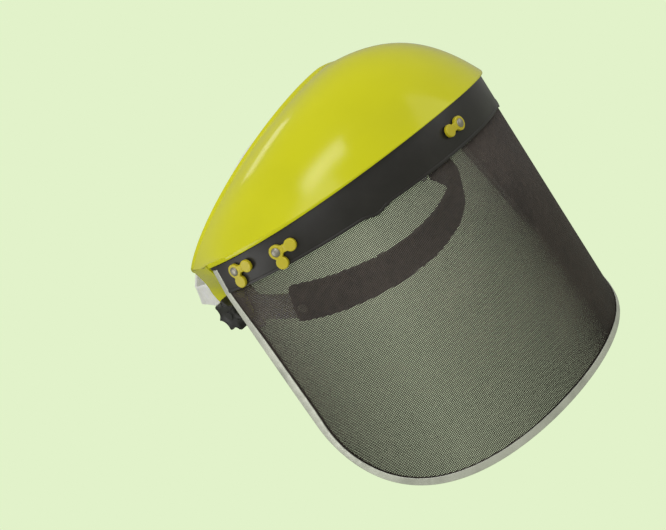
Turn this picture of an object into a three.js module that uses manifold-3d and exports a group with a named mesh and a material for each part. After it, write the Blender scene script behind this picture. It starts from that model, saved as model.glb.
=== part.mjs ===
// Face shield: a brow guard with a wire-mesh visor, hinged on an adjustable headgear.
// Millimetres, +Z up. The front faces -Y and +X is the wearer's left.
// The origin is midway between the two temple pivots, on the pivot axis.

import * as THREE from "three";
import { mergeVertices } from "three/addons/utils/BufferGeometryUtils.js";
import Module from "manifold-3d";

const wasm = await Module();
wasm.setup();

// Driving dimensions.

const GAP = 0.3; // between pieces that touch

// The visor is a sheet bent to half an ellipse, which widens a little towards its lower edge.
const PLAN_BACK_Y = -27; // the ellipse's centre
const PLAN_HALF_WIDTH = 127.4; // at the top band's lower edge
const PLAN_DEPTH = 121.5;
const FLARE = 0.106; // half-width gained per millimetre of drop
const TUCK = -0.016; // depth gained per millimetre of drop
const SHEET_THICKNESS = 0.8;
const SHEET_HANG = 173.8; // below the band's lower edge
const SIDE_SLANT = 0.165; // each side edge comes in by this much per millimetre of drop
const CORNER_START = 101.3; // the drop where the rounded corner begins
const CORNER_ACROSS = 4.43; // exponents of the corner's superellipse
const CORNER_DOWN = 1.92;

// The strips that stiffen the sheet's top edge.
const BAND_BOTTOM_Z = 18.2;
const BAND_THICKNESS = 1.0;
const BACKING_THICKNESS = 1.0;
const BACKING_BOTTOM_Z = 20.5;
const SCALLOP_DROP = 2.2; // a small lobe on the band's lower edge, at each side of the front
const SCALLOP_ANGLE = 35;
const SCALLOP_SPREAD = 2.6;

// The crimped metal channel round the sheet's sides and bottom.
const BINDING_OUT = 1.0; // beyond the sheet's edge
const BINDING_IN = 4.2; // over the sheet
const BINDING_HALF_THICKNESS = 1.3;
const BINDING_TOP_Z = 34.6;

// The brow guard.
const LIP_HALF_WIDTH = 128.8;
const LIP_DEPTH = 125.7;
const LIP_THICKNESS = 1.3;
const LIP_FRONT_Z = 43.9; // the lip's lower edge, at the front and at the temples
const LIP_TEMPLE_Z = 37.7;
const LIP_FRONT_HEIGHT = 0.6; // from the lip's lower edge to where the dome springs
const LIP_TEMPLE_HEIGHT = 3;
const RIM_HALF_WIDTH = 116.7; // the rear rim's arch, from temple to temple
const RIM_TEMPLE = { y: 9.4, z: 38.0 };
const RIM_TOP = { y: -74.4, z: 102.8 };
const RIM_RISE = 1.18; // exponents of the arch
const RIM_SPREAD = 1.28;
const DOME_FULLNESS = 3.08; // how quickly the dome rises from the lip
const DOME_ROWS = 8;
const SHELL_THICKNESS = 2.3;
const FLANGE_OUT = 2.0; // the flange's outer face, inside the sheet's middle
const FLANGE_THICKNESS = 2.4;
const FLANGE_BOTTOM_Z = 20.0;
const FLANGE_ROW = 2; // the dome's row over the flange
const FLANGE_SINK = 1.0; // the flange's inner face ends this far below the shell
const GROOVE_CLEARANCE = 0.6; // over the sheet's top edge
const RIM_BEAD = 1.9; // radius of the rolled rear rim

// The temple pivots, measured along X from the middle.
const TAB_OUT = 109.2;
const TAB_THICKNESS = 2.5;
const TAB_RADIUS = 11.5;
const TAB_KNEE_Z = 13;
const TAB_HEEL = 6.8; // how far the tab's rear edge swells out at the knee
const TAB_HEEL_SPREAD = 10;
const WASHER_THICKNESS = 1.5;
const WASHER_RADIUS = 10;
const BOLT_RADIUS = 3;
const BOLT_HEAD_RADIUS = 8;
const KNOB_RADIUS = 11.4;
const KNOB_LOBE = 1.6;
const KNOB_LOBES = 7;
const KNOB_THICKNESS = 11;
const INSERT_RADIUS = 5;

// Turn buttons: angle from the front (towards the wearer's left), height, and where the arms point.
const BUTTON_ARM = 10.5; // along the band
const BUTTON_SHORT_ARM = 7.4; // down from the hub
const BUTTON_HUB_RADIUS = 4.6;
const BUTTON_LOBE_RADIUS = 4.0;
const BUTTON_THICKNESS = 2.4;
const PIN_RADIUS = 1.9;
const PIN_HEAD_RADIUS = 2.9;
const DOWN = -90;
const BUTTONS = [
  { name: "1", angle: -80, z: 29.7, arms: [0, DOWN] },
  { name: "2", angle: -64.5, z: 28.7, arms: [0, DOWN] },
  { name: "3", angle: 0, z: 31.7, arms: [180] },
  { name: "4", angle: 64.5, z: 28.7, arms: [180, DOWN] },
  { name: "5", angle: 80, z: 29.7, arms: [180, DOWN] },
];

// The headgear, built level and then pitched with its front down.
const PITCH = 22;
const PLATE_FACE = TAB_OUT - TAB_THICKNESS - WASHER_THICKNESS - 2 * GAP; // the temple plate's outer face
const HEADBAND_THICKNESS = 2.0;
const HEAD_HALF_WIDTH = PLATE_FACE - HEADBAND_THICKNESS / 2; // to the middle of the plastic band
const HEAD_FRONT = 89;
const PLATE_FLAT_Y = -10.5; // the temple plates are flat behind this
const HEADBAND_HALF_HEIGHT = 9.5;
const PLATE_HALF_HEIGHT = 18;
const PLATE_FRONT_Y = -17;
const PLATE_REAR_Y = 30;
const SWEATBAND_HALF_HEIGHT = 14.6;
const SWEATBAND_OUT = 2.9; // from the plastic band's middle, outwards
const SWEATBAND_IN = 7.6; // and towards the head
const SWEATBAND_RIGHT_TURN = 69; // degrees from the front to each end
const SWEATBAND_LEFT_TURN = 81;
const SWEATBAND_RIVET_INSET = 4.5; // degrees from each end
const SWEATBAND_RIVET_Z = -1.5;

// Rear adjuster: two racked straps drawn together by a pinion.
const REAR_Y = 103.5; // the inner strap's middle
const REAR_DROP = 25; // the adjuster sits this far below the temple plates' middle
const STRAP_THICKNESS = 1.6;
const STRAP_LAYER = 2.1; // from the inner strap's middle to the outer strap's
const STRAP_HALF_HEIGHT = 7.5;
const STRAP_FRONT_Y = 13;
const STRAP_TIP = 12; // how far each strap passes the middle
const PINION_TEETH = 8;
const PINION_PITCH_RADIUS = 4;
const PINION_OUTER_RADIUS = 5;
const PINION_ROOT_RADIUS = 3.4;
const RACK_TIP = 4.35; // the rack's teeth, measured from the pinion's axis
const RACK_ROOT = 5.6;
const SHAFT_RADIUS = 3;
const HOUSING_HALF_WIDTH = 31;
const HOUSING_HALF_HEIGHT = 13.5;
const HOUSING_FRONT_Y = 99.2;
const HOUSING_REAR_Y = 107.2;
const COVER_THICKNESS = 2.6;
const SCREW_RADIUS = 1.2;
const SCREW_X = 26;
const SCREW_Z = 10.8;
const RATCHET_KNOB_RADIUS = 15.5;
const RATCHET_KNOB_DEPTH = 10;
const NAPE_PAD_THICKNESS = 7;

// Crown strap, over the head from plate to plate.
const CROWN_TOP = 96;
const CROWN_THICKNESS = 1.6;
const CROWN_HALF_WIDTH = 8;
const CROWN_FOOT_Z = 9;
const CROWN_RIVET_Z = 13.4;
const CROWN_SHOULDER_Z = 22;
const CROWN_LAP = 20; // how far the outer half passes the middle
const PEG_RADIUS = 1.6;
const PEG_PITCH = 7;

const SIDES = [
  { name: "left", sign: 1 },
  { name: "right", sign: -1 },
];

// Plain numbers and points.

const radians = THREE.MathUtils.degToRad;
const vec = (x, y, z) => new THREE.Vector3(x, y, z);

// Evenly spaced values from start to end, both included.
function steps(start, end, count) {
  return Array.from({ length: count + 1 }, (_, i) => start + ((end - start) * i) / count);
}

// Solids.

// A closed geometry from a list of corner points and a list of triangles, turned to face out.
function closedGeometry(points, triangles) {
  let volume = 0;
  for (const [a, b, c] of triangles) {
    volume += points[a].dot(points[b].clone().cross(points[c]));
  }
  const index = triangles.flatMap(([a, b, c]) => (volume < 0 ? [a, c, b] : [a, b, c]));
  const geometry = new THREE.BufferGeometry().setFromPoints(points);
  geometry.setIndex(index);
  return geometry;
}

// A solid between two grids of points with the same rows and columns.
function slab(front, back) {
  const rows = front.length;
  const columns = front[0].length;
  const points = [...front.flat(), ...back.flat()];
  const offset = rows * columns;
  const triangles = [];
  const quad = (a, b, c, d) => triangles.push([a, b, c], [a, c, d]);
  for (let r = 0; r < rows - 1; r += 1) {
    for (let c = 0; c < columns - 1; c += 1) {
      const corner = r * columns + c;
      const below = corner + columns;
      quad(corner, corner + 1, below + 1, below);
      quad(offset + corner, offset + below, offset + below + 1, offset + corner + 1);
    }
  }
  const edge = [];
  for (let c = 0; c < columns - 1; c += 1) edge.push(c);
  for (let r = 0; r < rows - 1; r += 1) edge.push(r * columns + columns - 1);
  for (let c = columns - 1; c > 0; c -= 1) edge.push((rows - 1) * columns + c);
  for (let r = rows - 1; r > 0; r -= 1) edge.push(r * columns);
  edge.forEach((here, i) => {
    const next = edge[(i + 1) % edge.length];
    quad(next, here, offset + here, offset + next);
  });
  return closedGeometry(points, triangles);
}

// A solid swept through a list of rings, each the same closed counterclockwise outline in a new place.
function sweep(rings, outline) {
  const size = outline.length;
  const points = rings.flat();
  const triangles = [];
  for (let r = 0; r < rings.length - 1; r += 1) {
    for (let i = 0; i < size; i += 1) {
      const a = r * size + i;
      const b = r * size + ((i + 1) % size);
      triangles.push([a, b, b + size], [a, b + size, a + size]);
    }
  }
  const last = (rings.length - 1) * size;
  const flat = outline.map(([u, v]) => new THREE.Vector2(u, v));
  for (const [a, b, c] of THREE.ShapeUtils.triangulateShape(flat, [])) {
    triangles.push([a, c, b], [last + a, last + b, last + c]);
  }
  return closedGeometry(points, triangles);
}

function toSolid(geometry) {
  const bare = geometry.index ? geometry.toNonIndexed() : geometry.clone();
  bare.deleteAttribute("normal");
  bare.deleteAttribute("uv");
  const merged = mergeVertices(bare, 1e-4);
  return new wasm.Manifold(
    new wasm.Mesh({
      numProp: 3,
      vertProperties: merged.attributes.position.array,
      triVerts: new Uint32Array(merged.index.array),
    }),
  );
}

function toGeometry(solid) {
  const mesh = solid.getMesh();
  const geometry = new THREE.BufferGeometry();
  geometry.setAttribute("position", new THREE.BufferAttribute(mesh.vertProperties, 3));
  geometry.setIndex(new THREE.BufferAttribute(mesh.triVerts, 1));
  return geometry;
}

const union = (...geometries) =>
  toGeometry(geometries.map(toSolid).reduce((whole, next) => whole.add(next)));

const cut = (geometry, ...tools) =>
  toGeometry(tools.map(toSolid).reduce((whole, tool) => whole.subtract(tool), toSolid(geometry)));

const intersect = (a, b) => toGeometry(toSolid(a).intersect(toSolid(b)));

// A cylinder from one X to another, about a line through (y, z).
function barX(from, to, radius, segments = 16, y = 0, z = 0) {
  const geometry = new THREE.CylinderGeometry(radius, radius, Math.abs(to - from), segments);
  return geometry.rotateZ(Math.PI / 2).translate((from + to) / 2, y, z);
}

// A bore through everything at one temple.
function templeBore(sign, radius, z = 0) {
  return barX(sign * (PLATE_FACE - 10), sign * (PLATE_FACE + 20), radius, 16, 0, z);
}

function block(low, high) {
  const size = high.map((value, i) => value - low[i]);
  const geometry = new THREE.BoxGeometry(...size);
  return geometry.translate(...low.map((value, i) => value + size[i] / 2));
}

// A cylinder from one Y to another, about a line through (x, z).
function barY(from, to, radius, segments = 16, x = 0, z = 0) {
  const geometry = new THREE.CylinderGeometry(radius, radius, to - from, segments);
  return geometry.translate(x, (from + to) / 2, z);
}

// A flat shape in X and Z, given thickness from one Y to another.
function plateY(shape, from, to, bevel = 0) {
  const geometry = new THREE.ExtrudeGeometry(shape, {
    depth: to - from - 2 * bevel,
    bevelEnabled: bevel > 0,
    bevelThickness: bevel,
    bevelSize: bevel,
    bevelOffset: -bevel,
    bevelSegments: 1,
    curveSegments: 4,
  });
  return geometry.translate(0, 0, bevel).rotateX(Math.PI / 2).translate(0, to, 0);
}

// The same, given thickness outwards along X on one side of the middle.
function plateX(shape, sign, from, to, bevel = 0) {
  return plateY(shape, from, to, bevel).rotateZ(-sign * (Math.PI / 2));
}

function roundedRectangle(halfWidth, halfHeight, radius) {
  const shape = new THREE.Shape();
  shape.absarc(halfWidth - radius, halfHeight - radius, radius, 0, Math.PI / 2);
  shape.absarc(radius - halfWidth, halfHeight - radius, radius, Math.PI / 2, Math.PI);
  shape.absarc(radius - halfWidth, radius - halfHeight, radius, Math.PI, 1.5 * Math.PI);
  shape.absarc(halfWidth - radius, radius - halfHeight, radius, 1.5 * Math.PI, 2 * Math.PI);
  return shape;
}

// A closed outline whose radius swells and shrinks round the circle.
function lobedShape(radius, lobe, lobes, stepsPerLobe = 4) {
  const points = steps(0, 360, lobes * stepsPerLobe).slice(0, -1).map((turn) => {
    const angle = radians(turn);
    const r = radius + lobe * Math.cos(lobes * angle);
    return new THREE.Vector2(r * Math.cos(angle), r * Math.sin(angle));
  });
  return new THREE.Shape(points);
}

// The visor's surface.

// The quarter ellipse's arc, and the angle reached after a length of arc from the front.
const QUARTER_ARC = (Math.PI / 4) * (PLAN_HALF_WIDTH + PLAN_DEPTH);

function angleAtArc(arc) {
  const mean = (PLAN_HALF_WIDTH + PLAN_DEPTH) / 2;
  const even = arc / mean;
  return even - ((PLAN_HALF_WIDTH - PLAN_DEPTH) / (4 * mean)) * Math.sin(2 * even);
}

// A point on the visor at an angle from the front, a height, and a distance outside the sheet's middle.
function visorPoint(angle, z, out) {
  const drop = BAND_BOTTOM_Z - z;
  const halfWidth = PLAN_HALF_WIDTH + FLARE * drop + out;
  const depth = PLAN_DEPTH + TUCK * drop + out;
  return vec(halfWidth * Math.sin(angle), PLAN_BACK_Y - depth * Math.cos(angle), z);
}

// The outward direction of the visor's surface.
function visorNormal(angle, z) {
  const across = visorPoint(angle + 0.01, z, 0).sub(visorPoint(angle - 0.01, z, 0));
  const up = visorPoint(angle, z + 1, 0).sub(visorPoint(angle, z - 1, 0));
  return across.cross(up).normalize();
}

function lipHeight(angle) {
  return LIP_TEMPLE_Z + (LIP_FRONT_Z - LIP_TEMPLE_Z) * Math.cos(angle) ** 2;
}

// The sheet and its strips end under the lip.
function sheetTop(angle) {
  return lipHeight(angle) - 0.4 + 1.3 * Math.cos(angle) ** 2;
}

// The sheet's half-arc where its side edge has come down by a given drop.
function sideArc(drop) {
  return QUARTER_ARC - SIDE_SLANT * Math.max(drop, 0);
}

// How far the sheet hangs where it is a given share of the way out to its side edge.
function hangAt(share) {
  const round = (1 - Math.abs(share) ** CORNER_ACROSS) ** (1 / CORNER_DOWN);
  return CORNER_START + (SHEET_HANG - CORNER_START) * round;
}

// Shares of the width, closer together towards the side edges.
const SHEET_SHARES = steps(-90, 90, 40).map((angle) => Math.sin(radians(angle)));

function sheetGrid(out) {
  return SHEET_SHARES.map((share) =>
    steps(0, 1, 7).map((part) => {
      const topAngle = angleAtArc(share * QUARTER_ARC);
      const z = sheetTop(topAngle) + (BAND_BOTTOM_Z - hangAt(share) - sheetTop(topAngle)) * part;
      return visorPoint(angleAtArc(share * sideArc(BAND_BOTTOM_Z - z)), z, out);
    }),
  );
}

// A strip of the visor's surface between two distances outside the sheet's middle.
function strip(angles, bottom, top, inner, outer) {
  const face = (out) => angles.map((a) => [visorPoint(a, bottom(a), out), visorPoint(a, top(a), out)]);
  return slab(face(outer), face(inner));
}

// The brow guard's surface.

function lipPoint(angle, inset, z) {
  return vec(
    (LIP_HALF_WIDTH - inset) * Math.sin(angle),
    PLAN_BACK_Y - (LIP_DEPTH - inset) * Math.cos(angle),
    z,
  );
}

// Where the dome springs from the lip.
function domeFootHeight(angle) {
  const rise = LIP_TEMPLE_HEIGHT - LIP_FRONT_HEIGHT;
  return lipHeight(angle) + LIP_FRONT_HEIGHT + rise * Math.sin(angle) ** 2;
}

function rimPoint(angle, drop = 0) {
  const rise = Math.max(Math.cos(angle), 0) ** RIM_RISE;
  return vec(
    RIM_HALF_WIDTH * Math.sign(angle) * Math.abs(Math.sin(angle)) ** RIM_SPREAD,
    RIM_TEMPLE.y + (RIM_TOP.y - RIM_TEMPLE.y) * rise,
    RIM_TEMPLE.z + (RIM_TOP.z - RIM_TEMPLE.z) * rise - drop,
  );
}

// One rib of the dome, from the lip up and back to the rear rim.
function domeRib(foot, head, count) {
  return steps(0, 1, count).map((part) => {
    const along = 1 - Math.cos((part * Math.PI) / 2) ** 1.3;
    const up = 1 - (1 - along) ** DOME_FULLNESS;
    return vec(
      foot.x + (head.x - foot.x) * along,
      foot.y + (head.y - foot.y) * along,
      foot.z + (head.z - foot.z) * up,
    );
  });
}

// The brow guard's section at an angle from the front: over the dome from the lip to the rolled
// rim, back under the shell, down and up the flange, and across the groove to the lip again.
function browSection(angle) {
  const footZ = domeFootHeight(angle);
  const outer = domeRib(lipPoint(angle, 0, footZ), rimPoint(angle), DOME_ROWS);
  const inner = domeRib(lipPoint(angle, LIP_THICKNESS, footZ), rimPoint(angle, SHELL_THICKNESS), DOME_ROWS);
  const rim = outer.at(-1);
  const grooveZ = sheetTop(angle) + GROOVE_CLEARANCE;
  const flangeTop = inner[FLANGE_ROW].z - FLANGE_SINK;
  return [
    ...outer,
    rim.clone().add(vec(0, -0.2 * RIM_BEAD, 0.8 * RIM_BEAD)),
    rim.clone().add(vec(0, 0.9 * RIM_BEAD, 0.5 * RIM_BEAD)),
    rim.clone().add(vec(0, 0.8 * RIM_BEAD, -0.9 * RIM_BEAD)),
    ...inner.slice(FLANGE_ROW + 1).reverse(),
    visorPoint(angle, flangeTop, -FLANGE_OUT - FLANGE_THICKNESS),
    visorPoint(angle, FLANGE_BOTTOM_Z, -FLANGE_OUT - FLANGE_THICKNESS),
    visorPoint(angle, FLANGE_BOTTOM_Z, -FLANGE_OUT),
    visorPoint(angle, grooveZ, -FLANGE_OUT),
    lipPoint(angle, LIP_THICKNESS, grooveZ),
    lipPoint(angle, LIP_THICKNESS, lipHeight(angle)),
    lipPoint(angle, 0, lipHeight(angle)),
  ];
}

// The frame of a button: sideways, up the visor, and out from the sheet's middle at the hub.
function buttonFrame(button) {
  const angle = radians(button.angle);
  const out = visorNormal(angle, button.z);
  const side = vec(0, 0, 1).cross(out).normalize();
  const up = out.clone().cross(side);
  return new THREE.Matrix4().makeBasis(side, up, out).setPosition(visorPoint(angle, button.z, 0));
}

// A round bar along a button's normal, between two distances outside the sheet's middle.
function buttonBar(button, from, to, radius, segments = 12) {
  const bar = new THREE.CylinderGeometry(radius, radius, to - from, segments);
  return bar.rotateX(Math.PI / 2).translate(0, 0, (from + to) / 2).applyMatrix4(buttonFrame(button));
}

const pinHoles = () => BUTTONS.map((button) => buttonBar(button, -12, 12, PIN_RADIUS + GAP, 12));

function makeVisorMesh() {
  const half = SHEET_THICKNESS / 2;
  return cut(slab(sheetGrid(half), sheetGrid(-half)), ...pinHoles());
}

const bandAngles = (arc) => steps(-arc, arc, 48).map(angleAtArc);

function makeTopBand() {
  const inner = SHEET_THICKNESS / 2 + GAP;
  const outer = inner + BAND_THICKNESS;
  const scallop = (angle) => {
    const away = (Math.abs(THREE.MathUtils.radToDeg(angle)) - SCALLOP_ANGLE) / SCALLOP_SPREAD;
    return BAND_BOTTOM_Z - SCALLOP_DROP * Math.exp(-away * away);
  };
  const insideBinding = QUARTER_ARC - BINDING_IN - 2 * GAP;
  const main = strip(bandAngles(insideBinding), scallop, sheetTop, inner, outer);
  const aboveBinding = () => BINDING_TOP_Z + 2 * GAP;
  const ends = SIDES.map(({ sign }) =>
    strip(
      steps(insideBinding - 3, QUARTER_ARC + 0.6, 2).map((arc) => sign * angleAtArc(arc)),
      aboveBinding,
      (a) => sheetTop(a) - 0.02,
      inner + 0.01,
      outer - 0.01,
    ),
  );
  return cut(union(main, ...ends), ...pinHoles());
}

function makeBackingBand() {
  const outer = -(SHEET_THICKNESS / 2 + GAP);
  const inner = outer - BACKING_THICKNESS;
  const arc = QUARTER_ARC - BINDING_IN - 2 * GAP;
  return cut(strip(bandAngles(arc), () => BACKING_BOTTOM_Z, sheetTop, inner, outer), ...pinHoles());
}

// The sheet's edge from the top of one side, round the bottom, to the top of the other.
function edgePath() {
  const side = steps(BINDING_TOP_Z, BAND_BOTTOM_Z - CORNER_START, 8).slice(0, -1);
  const sidePoint = (sign) => (z) => ({ angle: sign * angleAtArc(sideArc(BAND_BOTTOM_Z - z)), z });
  const bottom = SHEET_SHARES.map((share) => {
    const drop = hangAt(share);
    return { angle: angleAtArc(share * sideArc(drop)), z: BAND_BOTTOM_Z - drop };
  });
  return [...side.map(sidePoint(-1)), ...bottom, ...side.map(sidePoint(1)).reverse()];
}

function makeEdgeBinding() {
  const slot = SHEET_THICKNESS / 2 + GAP;
  const thick = BINDING_HALF_THICKNESS;
  const outline = [
    [-BINDING_OUT, -thick],
    [BINDING_IN, -thick],
    [BINDING_IN, -slot],
    [-GAP, -slot],
    [-GAP, slot],
    [BINDING_IN, slot],
    [BINDING_IN, thick],
    [-BINDING_OUT, thick],
  ];
  const path = edgePath();
  const middle = path.map(({ angle, z }) => visorPoint(angle, z, 0));
  const rings = path.map(({ angle }, i) => {
    const before = middle[Math.max(i - 1, 0)];
    const after = middle[Math.min(i + 1, path.length - 1)];
    const along = after.clone().sub(before).normalize();
    const out = visorNormal(angle, middle[i].z);
    out.addScaledVector(along, -out.dot(along)).normalize();
    const inward = along.clone().cross(out);
    const place = ([u, v]) => middle[i].clone().addScaledVector(inward, -u).addScaledVector(out, v);
    return outline.map(place);
  });
  return sweep(rings, outline);
}

function makeBrowGuard() {
  const sections = steps(-90, 90, 36).map(radians).map(browSection);
  // The temple's section laid flat: how far it is out and forward, against its height.
  const laidFlat = sections.at(-1).map((p) => [p.x - p.y, p.z]);
  const tabs = SIDES.map(({ sign }) => templeTab(sign));
  const boltHoles = SIDES.map(({ sign }) => templeBore(sign, BOLT_RADIUS + GAP));
  return cut(union(sweep(sections, laidFlat), ...tabs), ...pinHoles(), ...boltHoles);
}

// A temple tab: down and in from the dome's rear corner, swelling rearward into a heel, then flat
// round the pivot.
function templeTab(sign) {
  const top = RIM_TEMPLE.z - 1.2;
  const rows = [
    { z: top, x: RIM_HALF_WIDTH + 1.0, front: -22, back: 9.6 },
    { z: 25, x: 113.6, front: -17, back: 10.4 },
    { z: 19, x: 111.3, front: -15, back: 10.9 },
    { z: TAB_KNEE_Z, x: TAB_OUT, front: -13.5, back: 11.3 },
    { z: 6, x: TAB_OUT, front: -12.4, back: TAB_RADIUS },
    ...steps(0, 90, 5).map((turn) => ({
      z: -TAB_RADIUS * Math.sin(radians(turn * 0.98)),
      x: TAB_OUT,
      front: -TAB_RADIUS * Math.cos(radians(turn * 0.98)),
      back: TAB_RADIUS * Math.cos(radians(turn * 0.98)),
    })),
  ];
  const heel = (z) => TAB_HEEL * Math.exp(-(((z - TAB_KNEE_Z) / TAB_HEEL_SPREAD) ** 2));
  const across = ({ z, front, back }) => steps(front, back + heel(z), 3);
  const face = (inset) => rows.map((row) => across(row).map((y) => vec(sign * (row.x - inset), y, row.z)));
  return slab(face(0), face(TAB_THICKNESS));
}

// Buttons and pins.

function makeTurnButton(button) {
  const disc = (x, y, radius) => {
    const round = new THREE.CylinderGeometry(radius, radius, BUTTON_THICKNESS, 14);
    return round.rotateX(Math.PI / 2).translate(x, y, 0);
  };
  const parts = [disc(0, 0, BUTTON_HUB_RADIUS)];
  for (const turn of button.arms) {
    const length = turn === DOWN ? BUTTON_SHORT_ARM : BUTTON_ARM;
    const x = length * Math.cos(radians(turn));
    const y = length * Math.sin(radians(turn));
    const arm = new THREE.BoxGeometry(length, 5, BUTTON_THICKNESS - 0.5).rotateZ(radians(turn));
    parts.push(arm.translate(x / 2, y / 2, 0));
    parts.push(disc(x, y, BUTTON_LOBE_RADIUS));
  }
  const base = SHEET_THICKNESS / 2 + BAND_THICKNESS + 2 * GAP;
  const whole = union(...parts).translate(0, 0, base + BUTTON_THICKNESS / 2);
  return cut(whole.applyMatrix4(buttonFrame(button)), buttonBar(button, -12, 12, PIN_RADIUS + GAP, 12));
}

// A rivet from inside the flange to over the button.
function makeButtonPin(button) {
  const inside = -FLANGE_OUT - FLANGE_THICKNESS - GAP;
  const outside = SHEET_THICKNESS / 2 + BAND_THICKNESS + BUTTON_THICKNESS + 3 * GAP;
  const profile = [
    [0, inside - 1],
    [PIN_HEAD_RADIUS + 0.6, inside - 1],
    [PIN_HEAD_RADIUS + 0.6, inside],
    [PIN_RADIUS, inside],
    [PIN_RADIUS, outside],
    [PIN_HEAD_RADIUS, outside],
    [PIN_HEAD_RADIUS * 0.7, outside + 0.9],
    [0, outside + 1.1],
  ];
  const points = profile.map(([r, h]) => new THREE.Vector2(r, h));
  return new THREE.LatheGeometry(points, 10).rotateX(Math.PI / 2).applyMatrix4(buttonFrame(button));
}

// The headgear's plan: half an ellipse round the forehead, then straight back past the pivots.

// A point and outward direction on the band's middle, at an angle from the front.
function foreheadFrame(turn) {
  const angle = radians(turn);
  const depth = HEAD_FRONT + PLATE_FLAT_Y;
  const at = vec(HEAD_HALF_WIDTH * Math.sin(angle), PLATE_FLAT_Y - depth * Math.cos(angle), 0);
  const out = vec(depth * Math.sin(angle), -HEAD_HALF_WIDTH * Math.cos(angle), 0).normalize();
  return { at, out };
}

const besideFrame = (sign) => (y) => ({ at: vec(sign * HEAD_HALF_WIDTH, y, 0), out: vec(sign, 0, 0) });

const moved = ({ at, out }, distance, z) => at.clone().addScaledVector(out, distance).setZ(z);

// A strap of a given thickness through frames, with its own height at each.
function ribbon(frames, thickness, halfHeight, middleZ = () => 0) {
  const face = (out) =>
    frames.map((frame) =>
      [-1, 1].map((end) => moved(frame, out, middleZ(frame) + end * halfHeight(frame))),
    );
  return slab(face(thickness / 2), face(-thickness / 2));
}

const smooth = THREE.MathUtils.smoothstep;

function makeHeadband() {
  const rear = [-7, -3, 3, 8, 12, 16, 20, 25, PLATE_REAR_Y];
  const frames = [
    ...rear.map(besideFrame(-1)).reverse(),
    ...steps(-90, 90, 44).map(foreheadFrame),
    ...rear.map(besideFrame(1)),
  ];
  const extra = PLATE_HALF_HEIGHT - HEADBAND_HALF_HEIGHT;
  const halfHeight = ({ at }) => {
    const wide = smooth(at.y, PLATE_FRONT_Y, PLATE_FRONT_Y + 6) - smooth(at.y, 8, PLATE_REAR_Y);
    return HEADBAND_HALF_HEIGHT + extra * wide;
  };
  const holes = SIDES.flatMap(({ sign }) => [
    templeBore(sign, BOLT_RADIUS + GAP),
    templeBore(sign, PIN_RADIUS + GAP, CROWN_RIVET_Z),
    sweatbandRivetBar(sign, -12, 12, PIN_RADIUS + GAP),
  ]);
  return cut(ribbon(frames, HEADBAND_THICKNESS, halfHeight), ...holes);
}

// An outline with cut corners, in the outward direction and Z.
function cornered(low, high, halfHeight, corner) {
  return [
    [low + corner, -halfHeight],
    [high - corner, -halfHeight],
    [high, -halfHeight + corner],
    [high, halfHeight - corner],
    [high - corner, halfHeight],
    [low + corner, halfHeight],
    [low, halfHeight - corner],
    [low, -halfHeight + corner],
  ];
}

// The padded sleeve over the band's front.
function makeSweatband() {
  const along = (extra, outline) =>
    sweep(
      steps(-SWEATBAND_RIGHT_TURN - extra, SWEATBAND_LEFT_TURN + extra, 24).map((turn) =>
        outline.map(([u, z]) => moved(foreheadFrame(turn), u, z)),
      ),
      outline,
    );
  const channelHalf = HEADBAND_THICKNESS / 2 + GAP;
  const pad = cornered(-SWEATBAND_IN, SWEATBAND_OUT, SWEATBAND_HALF_HEIGHT, 2.2);
  const channel = cornered(-channelHalf, channelHalf, HEADBAND_HALF_HEIGHT + 0.6, 0.1);
  const holes = SIDES.map(({ sign }) => sweatbandRivetBar(sign, -12, 12, PIN_RADIUS + GAP));
  return cut(along(0, pad), along(4, channel), ...holes);
}

// The frame of the rivet that holds one end of the sweatband.
function sweatbandRivetFrame(sign) {
  const end = sign > 0 ? SWEATBAND_LEFT_TURN : SWEATBAND_RIGHT_TURN;
  const { at, out } = foreheadFrame(sign * (end - SWEATBAND_RIVET_INSET));
  const side = vec(-out.y, out.x, 0);
  return new THREE.Matrix4().makeBasis(side, vec(0, 0, 1), out).setPosition(at.setZ(SWEATBAND_RIVET_Z));
}

function sweatbandRivetBar(sign, from, to, radius) {
  const bar = new THREE.CylinderGeometry(radius, radius, to - from, 12).rotateX(Math.PI / 2);
  return bar.translate(0, 0, (from + to) / 2).applyMatrix4(sweatbandRivetFrame(sign));
}

// A rivet along +Z, from its inner head to its outer head.
function rivetAlongZ(inside, outside, radius, headRadius, headHeight) {
  const profile = [
    [0, inside - headHeight],
    [headRadius, inside - headHeight],
    [headRadius, inside],
    [radius, inside],
    [radius, outside],
    [headRadius, outside],
    [headRadius * 0.7, outside + headHeight],
    [0, outside + headHeight],
  ];
  return new THREE.LatheGeometry(
    profile.map(([r, h]) => new THREE.Vector2(r, h)),
    10,
  ).rotateX(Math.PI / 2);
}

function makeSweatbandRivet(sign) {
  const rivet = rivetAlongZ(-SWEATBAND_IN - GAP, SWEATBAND_OUT + GAP, PIN_RADIUS, 3.2, 0.8);
  return rivet.applyMatrix4(sweatbandRivetFrame(sign));
}

// The temple pivots.

// Turns a piece built along +Z so that it points outwards along X on one side.
const outwards = (geometry, sign) => geometry.rotateY(sign * (Math.PI / 2));

function makePivotBolt(sign) {
  const inner = PLATE_FACE - HEADBAND_THICKNESS - GAP;
  const end = TAB_OUT + GAP + KNOB_THICKNESS - 3;
  const profile = [
    [0, inner - 2.6],
    [BOLT_HEAD_RADIUS * 0.6, inner - 2.4],
    [BOLT_HEAD_RADIUS, inner - 1],
    [BOLT_HEAD_RADIUS, inner],
    [BOLT_RADIUS, inner],
    [BOLT_RADIUS, end - 0.6],
    [BOLT_RADIUS - 0.6, end],
    [0, end],
  ];
  const lathe = new THREE.LatheGeometry(
    profile.map(([r, h]) => new THREE.Vector2(r, h)),
    16,
  );
  return outwards(lathe.rotateX(Math.PI / 2), sign);
}

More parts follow.
